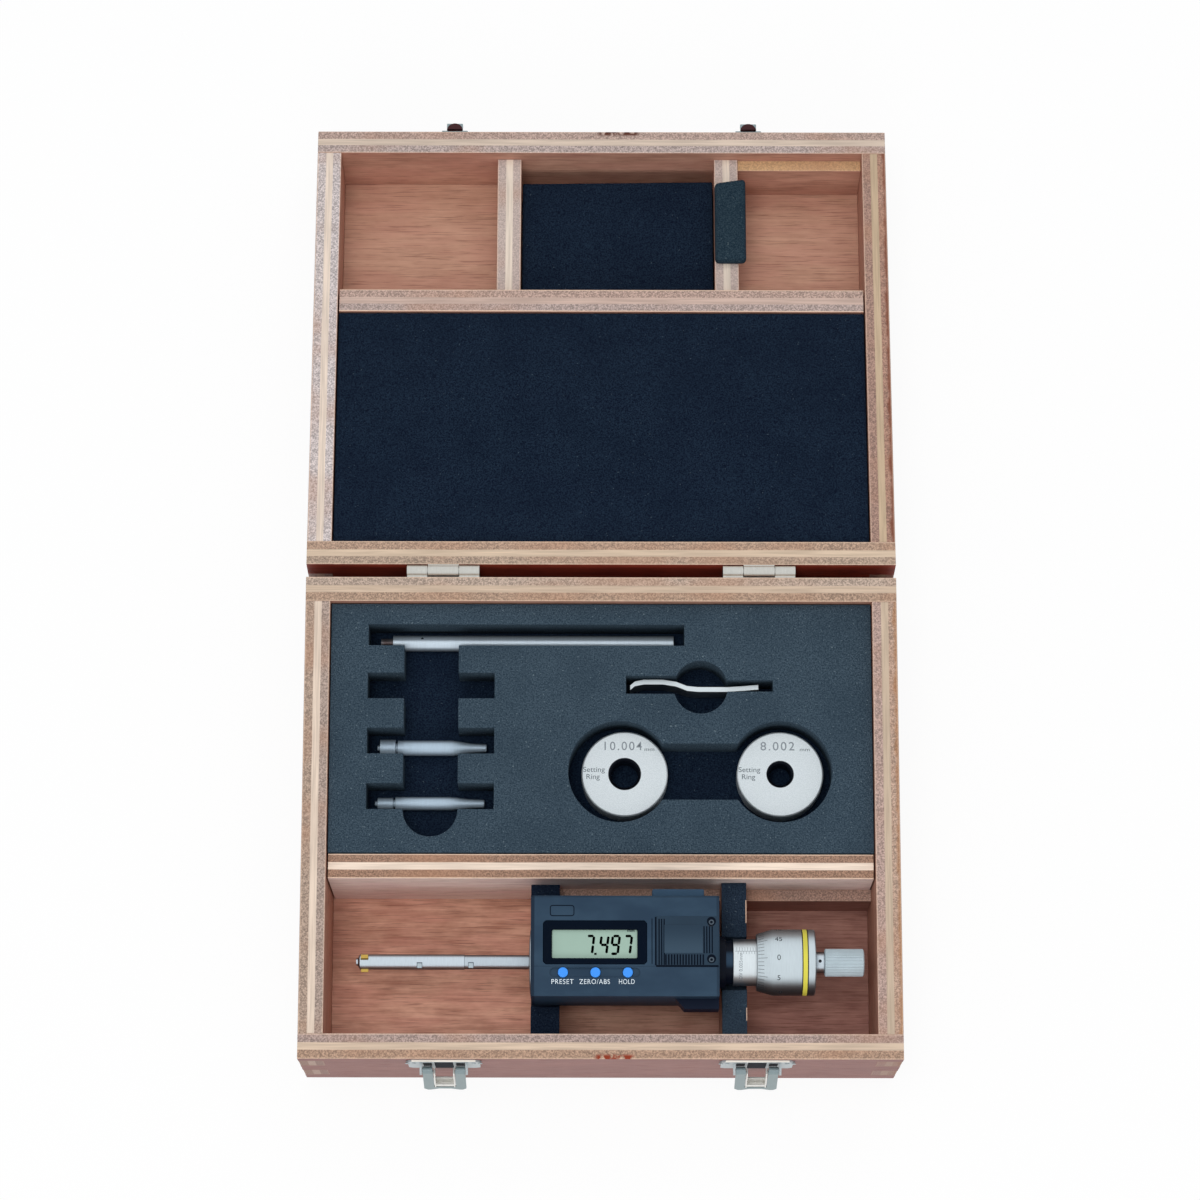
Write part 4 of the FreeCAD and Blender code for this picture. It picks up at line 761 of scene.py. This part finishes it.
def segment(name, start, end, level):
    """One thick stroke between two points with pointed ends, in millimetres."""
    clear_selection()
    bpy.ops.mesh.primitive_plane_add(size=1)
    piece = bpy.context.active_object
    run = Vector(end) - Vector(start)
    corners = [(-0.5, -0.5), (0.5, -0.5), (-0.5, 0.5), (0.5, 0.5)]
    length = run.length - STROKE * 0.25
    for vertex, (a, b) in zip(piece.data.vertices, corners):
        vertex.co = Vector((a * (length - STROKE * 0.7), b * STROKE, 0)) * MM
    choose(piece, lambda middle, direction: abs(direction.y) > 0.9, "EDGE")
    bpy.ops.mesh.subdivide(number_cuts=1)
    leave_edit()
    for vertex in piece.data.vertices:
        if abs(vertex.co.y) < 1e-7:
            vertex.co.x = math.copysign(length / 2 * MM, vertex.co.x)
    middle = (Vector(start) + Vector(end)) / 2
    piece.rotation_euler = (0, 0, math.atan2(run.y, run.x))
    piece.location = (middle.x * MM, middle.y * MM, level * MM)
    return settled(piece, name)


def figure(character, left, foot, level):
    """The strokes of one seven-segment figure."""
    slant = 0.12
    half = FIGURE_HEIGHT / 2
    def at(x, y):
        return (left + x * FIGURE_WIDTH + y * half * slant, foot + y * half)
    ends = {"a": (at(0, 2), at(1, 2)), "b": (at(1, 1), at(1, 2)), "c": (at(1, 0), at(1, 1)),
            "d": (at(0, 0), at(1, 0)), "e": (at(0, 0), at(0, 1)), "f": (at(0, 1), at(0, 2)),
            "g": (at(0, 1), at(1, 1))}
    return [segment(f"stroke_{character}_{key}", *ends[key], level) for key in SEGMENTS[character]]


strokes = []
for character, left in (("7", -5.7), ("4", -0.5), ("9", 3.6), ("7", 8.0)):
    strokes += figure(character, left, AXIS_Y + 0.3, DISPLAY_Z)
strokes.append(brick("stroke_point", (-2.4, -1.5), (AXIS_Y - 0.15, AXIS_Y + 0.65),
                     (DISPLAY_Z - 0.02, DISPLAY_Z)))
figures = joined("Display_figures", strokes)
fitted(figures, "micrometer", digit_ink, "display")
print("figures:", len(figures.data.polygons), "faces")

# %% [markdown]
# Printed and engraved words are text objects turned into thin meshes, so that they can be placed like any other
# piece.  Words on a round surface are bent round its axis after they become a mesh.

# %% Words
CAPITAL = 0.7        # the height of a capital as a share of the text's size
PRINT = 0.03         # the thickness of print, in millimetres


def words(name, text, height, x, y, z, body, material, slot, turn=(0.0, 0.0, 0.0), bold=0.0, spacing=1.0,
          fill=None):
    """Flat words whose middle is at a place, in millimetres, read from above; fill is the width they take up."""
    clear_selection()
    bpy.ops.object.text_add()
    piece = bpy.context.active_object
    piece.data.body = text
    piece.data.size = height / CAPITAL * MM
    piece.data.align_x = "CENTER"
    piece.data.align_y = "CENTER"
    piece.data.space_character = spacing
    piece.data.extrude = PRINT / 2 * MM
    piece.data.offset = bold * MM
    bpy.ops.object.convert(target="MESH")
    piece = bpy.context.active_object
    if fill:
        piece.scale.x = fill * MM / piece.dimensions.x
        settled(piece)
    piece.rotation_euler = turn
    piece.location = (x * MM, y * MM, z * MM)
    return fitted(settled(piece, name), body, material, slot)


def wrapped(piece, radius, turn=0.0):
    """Bends a flat piece, made round Y = 0 and Z = 0, about the micrometer's axis; radius depends on X."""
    for vertex in piece.data.vertices:
        here = radius(vertex.co.x / MM) * MM if callable(radius) else radius * MM
        angle = vertex.co.y / here + math.radians(turn)
        reach = here + vertex.co.z
        vertex.co.y = AXIS_Y * MM + reach * math.sin(angle)
        vertex.co.z = AXIS_Z * MM + reach * math.cos(angle)
    return piece


FACE_Z = AXIS_Z + 20.0
SLOPE = math.atan2(2.0, 9.8)
LABEL_Y = -10.0
LABEL_Z = FACE_Z - (-LABEL_Y - 4.4) * math.tan(SLOPE) + 0.01
for name, text, x, width in (("preset", "PRESET", -13.9, 8.0), ("zero", "ZERO/ABS", -2.2, 11.1),
                             ("hold", "HOLD", 9.4, 5.7)):
    words("Word_" + name, text, 1.75, x, AXIS_Y + LABEL_Y, LABEL_Z, "micrometer", white_ink, "housing",
          turn=(SLOPE, 0, 0), bold=0.005, spacing=1.12, fill=width)
words("Word_mm", "mm", 1.0, 10.9, AXIS_Y + 8.8, DISPLAY_Z + 0.01, "micrometer", digit_ink, "display", bold=0.04,
      fill=2.6)

for size, bore, x, _, width in RINGS:
    key, body = bore.replace(".", "_"), "setting_ring_" + size
    words(f"Ring_size_{key}", bore, 3.2, x - 0.9, RING_Y + 10.4, RING_TOP, body, grey_ink, "steel", spacing=1.25,
          fill=width, bold=0.02)
    words(f"Ring_unit_{key}", "mm", 1.4, x + 9.2, RING_Y + 9.3, RING_TOP, body, ring_ink, "steel", fill=3.6)
    words(f"Ring_first_{key}", "Setting", 1.9, x - 11.4, RING_Y + 1.6, RING_TOP, body, ring_ink, "steel",
          fill=8.0)
    words(f"Ring_second_{key}", "Ring", 1.9, x - 11.8, RING_Y - 1.1, RING_TOP, body, ring_ink, "steel",
          fill=4.9)

# %% [markdown]
# The thimble is divided into fifty parts: one turn moves the spindle half a millimetre.  One mark is made flat,
# copied for each division, joined to the rest and then bent round the cone.  The numerals go on the barrel.

# %% Graduations
CONE = (57.0, 62.8)          # where the thimble's cone starts and ends
CONE_RADIUS = 10.35
BARREL_RADIUS = 12.1
SLEEVE_RADIUS = 8.61
MARK = 0.14                  # the width of a mark


def cone_radius(x):
    share = min(max((x - CONE[0]) / (CONE[1] - CONE[0]), 0), 1)
    return CONE_RADIUS + (BARREL_RADIUS - CONE_RADIUS) * share + 0.01


def flat_marks(name, spans):
    """Thin flat marks: each span is (start x, end x, y, width), in millimetres."""
    marks = []
    for number, (start, end, y, width) in enumerate(spans):
        marks.append(brick(f"{name}_{number}", (start, end), (y - width / 2, y + width / 2), (0, 0.02)))
    return joined(name, marks)


DIVISIONS = 50
STEP = 360 / DIVISIONS
thimble_marks = []
for number in range(DIVISIONS):
    length = 3.4 if number % 5 == 0 else 2.2
    mark = flat_marks(f"mark_{number}", [(57.4, 57.4 + length, 0, MARK)])
    thimble_marks.append(wrapped(mark, cone_radius, number * STEP))
fitted(joined("Thimble_graduations", thimble_marks), "thimble", black_ink, "steel")

for number in range(0, DIVISIONS, 5):
    numeral = words(f"Thimble_{number}", str(number), 2.0, 64.9, 0, 0, "thimble", black_ink, "steel")
    wrapped(numeral, BARREL_RADIUS, -number * STEP)

sleeve_marks = [(49.0, 57.0, 0, MARK)]
sleeve_marks += [(49.6 + step, 49.72 + step, 0.9, 1.5) for step in range(8)]
sleeve_marks += [(50.1 + step, 50.22 + step, -0.6, 1.0) for step in range(7)]
fitted(wrapped(flat_marks("Sleeve_scale", sleeve_marks), SLEEVE_RADIUS, 20), "micrometer", grey_ink, "steel")
note = words("Sleeve_note", "1DIV 0.005mm", 1.3, 51.2, 0, 0, "micrometer", grey_ink, "steel",
             turn=(0, 0, math.pi / 2))
wrapped(note, SLEEVE_RADIUS, -22)

# %% [markdown]
# A yellow ring near the end of the thimble lies between two grooves, drawn as thin dark hoops of painted shade.
# It is a cylinder without its ends that is given a little thickness inwards.  The drive knob has flutes for the
# fingers: every second pair of its long edges is pulled in towards the axis.

# %% Thimble ring and drive knob
def hoop(name, x, radius, thickness, material):
    piece = rod(name, x, radius, 96)
    choose(piece, lambda middle, normal: abs(normal.x) > 0.9)
    bpy.ops.mesh.delete(type="FACE")
    leave_edit()
    wall = piece.modifiers.new("Wall", "SOLIDIFY")
    wall.thickness = thickness * MM
    wall.offset = -1
    only(piece)
    bpy.ops.object.modifier_apply(modifier=wall.name)
    bpy.ops.object.shade_smooth_by_angle(angle=SMOOTH)
    fitted(piece, "thimble", material, "steel")


hoop("Thimble_ring", (73.8, 75.4), 12.14, 0.12, band_yellow)
# painted shade: the grooves are thin dark hoops
hoop("Groove_left", (73.4, 73.8), 12.11, 0.1, black_steel_and_shade)
hoop("Groove_right", (75.4, 75.8), 12.11, 0.1, black_steel_and_shade)

FLUTES = 30
KNOB = (82.05, 96.45)
KNOB_RADIUS = 5.05
FLUTE_RADIUS = 4.86
CHAMFER = 0.35
knob = rod("Drive_knob", KNOB, KNOB_RADIUS, FLUTES * 4)
choose(knob, lambda middle, normal: abs(normal.x) > 0.9)
bpy.ops.mesh.inset(thickness=0.5 * MM, depth=CHAMFER * MM)
leave_edit()
low, high = (end * MM for end in KNOB)
for vertex in knob.data.vertices:
    y, z = vertex.co.y - AXIS_Y * MM, vertex.co.z - AXIS_Z * MM
    vertex.co.x = min(max(vertex.co.x, low), high)
    if math.hypot(y, z) > 4.9 * MM:
        vertex.co.x += CHAMFER * MM if vertex.co.x < (low + high) / 2 else -CHAMFER * MM
        if round(math.atan2(z, y) / (2 * math.pi) * FLUTES * 4) % 4 in (0, 1):
            vertex.co.y = AXIS_Y * MM + y * FLUTE_RADIUS / KNOB_RADIUS
            vertex.co.z = AXIS_Z * MM + z * FLUTE_RADIUS / KNOB_RADIUS
only(knob)
bpy.ops.object.shade_smooth_by_angle(angle=math.radians(25))
neck = softened(rod("knob_neck", (78.55, KNOB[0]), 3.9, 64), 0.2)
fitted(knob, "ratchet", knob_grey, "light_grey", "ratchet")
fitted(neck, "ratchet", turned_steel, "light_grey")
# painted shadow: the neck's pin hole is a small dark disc
pin_hole = disc("Neck_hole", 80.3, AXIS_Y, (AXIS_Z + 3.7, AXIS_Z + 3.92), 0.6)
fitted(pin_hole, "ratchet", black_steel_and_shade, "light_grey")
print("knob:", len(knob.data.polygons), "faces")

# %% [markdown]
# The battery cover has a raised field and fine ribs for grip, and two sunk screws.  A rounded label rim, left
# empty, sits in the corner of the readout; the rim is a thin dark ring of painted shadow.  The grooves between
# the ribs are thin dark bricks of painted shadow joined into one, and a dark ring of painted shadow marks each
# screw's well.

# %% Battery cover ribs, screw sockets and label rim
def on_face(name, x, y, low, high):
    return brick(name, x, (AXIS_Y + y[0], AXIS_Y + y[1]), (FACE_Z + low, FACE_Z + high))


def line(name, x, y, high=0.03):
    return on_face(name, x, y, -0.05, high)


# painted shadow: thin dark bricks where the grooves between the ribs are
grooves = [line("edge_line", (19.6, 20.2), (-4.1, 13.6)), line("outer_line", (18.4, 18.7), (-3.6, 13.0)),
           line("front_line", (20.0, 42.6), (-4.7, -4.0), 0.05)]
for side, count, start, pitch, width, y in (("left", 3, 20.9, 0.92, 0.45, (-3.9, 12.9)),
                                            ("front", 14, 23.3, 1.04, 0.55, (-3.9, -0.1)),
                                            ("right", 4, 37.2, 0.98, 0.45, (0.3, 10.2))):
    for number in range(count):
        left = start + pitch * number
        grooves.append(line(f"{side}_groove_{number}", (left, left + width), y))
fitted(joined("Battery_cover_grooves", grooves), "micrometer", painted_shadow, "housing")

field = on_face("Battery_cover_field", (23.0, 36.95), (0.4, 10.7), -0.02, 0.1)
softened(field, 0.05, 1)
fitted(field, "micrometer", field_plastic(AXIS_Y + 0.4, AXIS_Y + 10.7), "housing")

SCREW_X = 40.1
# painted shadow: a dark ring round each screw for its well
wells, heads = [], []
for number, y in enumerate((12.0, -1.7)):
    wells.append(disc(f"well_{number}", SCREW_X, AXIS_Y + y, (FACE_Z - 0.05, FACE_Z + 0.02), 1.65))
    head = disc(f"screw_face_{number}", SCREW_X, AXIS_Y + y - 0.3, (FACE_Z, FACE_Z + 0.1), 0.95)
    choose(head, lambda middle, normal: normal.z > 0.9)
    bpy.ops.mesh.inset(thickness=0.5 * MM)
    bpy.ops.transform.translate(value=(0, 0, -0.09 * MM))
    leave_edit()
    heads.append(softened(head, 0.05, 1))
fitted(joined("Screw_wells", wells), "micrometer", painted_shadow, "housing")
fitted(joined("Screw_faces", heads), "micrometer", screw_bright, "steel")

# painted shadow: the label's rim is a thin dark ring
label = on_face("Label_field", (-18.5, -9.6), (13.8, 17.9), -0.02, 0.06)
choose(label, lambda middle, direction: abs(direction.z) > 0.9, "EDGE")
bpy.ops.mesh.bevel(offset=1.0 * MM, segments=4)
leave_edit()
choose(label, lambda middle, normal: normal.z > 0.9)
bpy.ops.mesh.inset(thickness=0.32 * MM)
bpy.ops.mesh.delete(type="FACE")
leave_edit()
fitted(label, "micrometer", painted_shadow, "housing")
print("battery cover:", len(grooves), "grooves and", len(heads), "screws")

# %% [markdown]
# A few small marks tell how the tool is made: the rod has a cross hole near its end, drawn as a dark disc of
# painted shadow, two square dowels lock the measuring head and the stem, and a cradle's bare wood shows in a
# thin line beside its lining.  The dowels are bricks bent round the micrometer's axis, as the graduations are.

# %% Rod hole, dowels and cradle edges
(_, rod_y, _), (_, _, rod_top) = [[value / MM for value in corner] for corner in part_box("extension_rod")]
# painted shadow: the hole is a thin dark disc on the rod
hole = disc("Rod_hole", -66.9, rod_y + 4.2, (rod_top - 0.5, rod_top - 0.18), 0.5)
fitted(hole, "extension_rod", painted_shadow, "steel")

HEAD_RADIUS = 2.8
STEM_RADIUS = 2.6
DOWEL_TURN = -32
rims, dowels = [], []
for number, (x, reach) in enumerate(((-66.3, HEAD_RADIUS), (-47.5, STEM_RADIUS))):
    rim = brick(f"dowel_rim_{number}", (x - 1.0, x + 1.0), (-1.05, 1.05), (-0.3, 0.27))
    rims.append(wrapped(rim, reach, DOWEL_TURN))
    dowel = brick(f"dowel_{number}", (x - 0.8, x + 0.8), (-0.95, 0.7), (-0.2, 0.3))
    dowels.append(wrapped(dowel, reach, DOWEL_TURN))
fitted(joined("Dowel_rims", rims), "micrometer", dowel_rim, "steel")
fitted(joined("Dowels", dowels), "micrometer", knob_grey, "steel")

for name, y in (("back", (-38.2, -29.7)), ("front", (-74.3, -69.5))):
    strip = brick(f"Cradle_edge_{name}", (53.3, 53.72), y, (42.3, 42.46))
    fitted(softened(strip, 0.05, 1), "base", boards["right_cradle"], "plywood")
print("dowels:", len(dowels))

# %% [markdown]
# Behind each latch's loop and lever dark sheets of painted shadow lie on the plate and show through them, and a
# white strip of painted highlight lies along the plate's top edge.  The lip of each lid catch is a pressed cup:
# seen from its open end it is a dark hollow, drawn as a dark red sheet of painted shade.  The cups are made
# where they lie when the case is shut, and then laid back with the lid.

# %% Latch shadows, latch highlights and catch cups
def laid_back(piece):
    """Turns a piece that was made in the shut lid to where the lid lies open."""
    piece.data.transform(Matrix.Translation(HINGE * MM) @ Matrix.Rotation(-LID_TURN, 4, "X")
                         @ Matrix.Translation(-HINGE * MM))


LATCH_X = 57.0
BEHIND = (-90.86, -90.5)     # just proud of the plate
for side, x in (("left", -LATCH_X), ("right", LATCH_X)):
    # painted shadow: dark sheets on the plate behind the loop and in the gaps above the lever's arms
    back = [brick(f"Latch_shadow_{side}", (x - 3.4, x + 3.4), BEHIND, (35.2, 50.6))]
    for number, start in enumerate((x - 7.6, x + 4.4)):
        back.append(brick(f"latch_gap_shadow_{number}", (start, start + 3.2), BEHIND, (40.5, 48.6)))
    fitted(softened(joined(f"Latch_shadow_{side}", back), 0.04, 1), "base", painted_shadow, "latch_steel")
    # painted highlight: a near-white strip along the plate's top edge
    rim = brick(f"Latch_rim_highlight_{side}", (x - 11.6, x + 11.6), (-90.8, -90.1), (51.9, 52.04))
    fitted(softened(rim, 0.03, 1), "base", painted_edge_highlight, "latch_steel")
    # painted shade: a thin dark red sheet for the cup's hollow
    cup = disc(f"Catch_cup_{side}", x, -90.7, (54.5, 54.59), 3.1)
    for vertex in cup.data.vertices:
        if vertex.co.y > -91.2 * MM:
            vertex.co.y = -90.9 * MM
    choose(cup, lambda middle, normal: normal.z < -0.9)
    bpy.ops.mesh.inset(thickness=0.45 * MM)
    leave_edit()
    laid_back(fitted(cup, "lid", hollow_shade, "latch_steel"))
print("catch cups:", len(cup.data.polygons), "faces each")

# %% [markdown]
# The studio is plain: a pale floor, a soft key light above, a fill from the front and a bright surround.  The
# camera stands high in front of the case, as a person who looks into it does.

# %% Floor, light and camera
clear_selection()
bpy.ops.mesh.primitive_plane_add(size=8, location=(0, 0, -0.0003))
floor = bpy.context.active_object
floor.name = "Floor"
paper = Finish("Pale floor", Base_Color=(0.9, 0.9, 0.9, 1), Roughness=0.9)
out = next(n for n in paper.tree.nodes if n.type == "OUTPUT_MATERIAL")
seen = paper.node("LightPath", {}, {}, "Is Camera Ray")
gloss = paper.node("LightPath", {}, {}, "Is Glossy Ray")
glow = paper.node("Emission", {}, {"Color": (1, 1, 1, 1), "Strength": 1.0})
lit = Wire(paper, paper.shader.outputs[0])
blend = paper.node("MixShader", {}, {0: seen * 0.92 + gloss * 0.86, 1: lit, 2: glow})
paper.tree.links.new(blend.socket, out.inputs["Surface"])
floor.data.materials.append(paper.material)

world = bpy.data.worlds.new("Surround")
bpy.context.scene.world = world
world.use_nodes = True
sky = world.node_tree.nodes["Background"]
sky.inputs["Color"].default_value = (0.95, 0.97, 1.0, 1)
path = world.node_tree.nodes.new("ShaderNodeLightPath")
level = world.node_tree.nodes.new("ShaderNodeMapRange")
level.inputs["To Min"].default_value = 0.46
level.inputs["To Max"].default_value = 0.92
world.node_tree.links.new(path.outputs["Is Glossy Ray"], level.inputs["Value"])
world.node_tree.links.new(level.outputs["Result"], sky.inputs["Strength"])


def lamp(name, place, aim, size, power):
    light = bpy.data.lights.new(name, "AREA")
    light.shape = "RECTANGLE"
    light.size, light.size_y = size
    light.energy = power
    obj = bpy.data.objects.new(name, light)
    bpy.context.scene.collection.objects.link(obj)
    obj.location = place
    obj.rotation_euler = (Vector(aim) - Vector(place)).to_track_quat("-Z", "Y").to_euler()
    obj.visible_glossy = False


lamp("Key", (-0.25, -0.1, 1.9), (0, 0.06, 0.03), (0.9, 0.7), 14)
lamp("Front", (-0.1, -1.6, 1.2), (0, 0.05, 0.03), (1.2, 0.8), 10)
lamp("Back", (0.3, 1.0, 1.6), (0, 0.05, 0.03), (1.0, 0.8), 5)


IMAGE = 1200         # the width of the picture, in pixels
REACH = 4100         # the camera's distance to its picture, in the same pixels
SENSOR = 36.0


def set_camera():
    """The camera's place in metres, and its turn from three angles: down, sideways and about its own axis."""
    down, yaw, roll = math.radians(76.22), math.radians(0.558), math.radians(-0.647)
    look = Vector((math.sin(yaw) * math.cos(down), math.cos(yaw) * math.cos(down), -math.sin(down)))
    right = Vector((math.cos(yaw), -math.sin(yaw), 0))
    lower = look.cross(right)
    across = math.cos(roll) * right + math.sin(roll) * lower
    lower = math.cos(roll) * lower - math.sin(roll) * right
    data = bpy.data.cameras.new("Camera")
    data.sensor_width = SENSOR
    data.sensor_fit = "AUTO"
    data.lens = REACH / IMAGE * SENSOR
    camera = bpy.data.objects.new("Camera", data)
    bpy.context.scene.collection.objects.link(camera)
    turn = Matrix((across, -lower, -look)).transposed()
    camera.matrix_world = Matrix.Translation((-0.00397, -0.28227, 1.53648)) @ turn.to_4x4()
    return camera


bpy.context.scene.camera = set_camera()
bpy.context.scene.view_settings.view_transform = "Standard"
print("camera:", round(bpy.context.scene.camera.data.lens, 1), "mm lens")
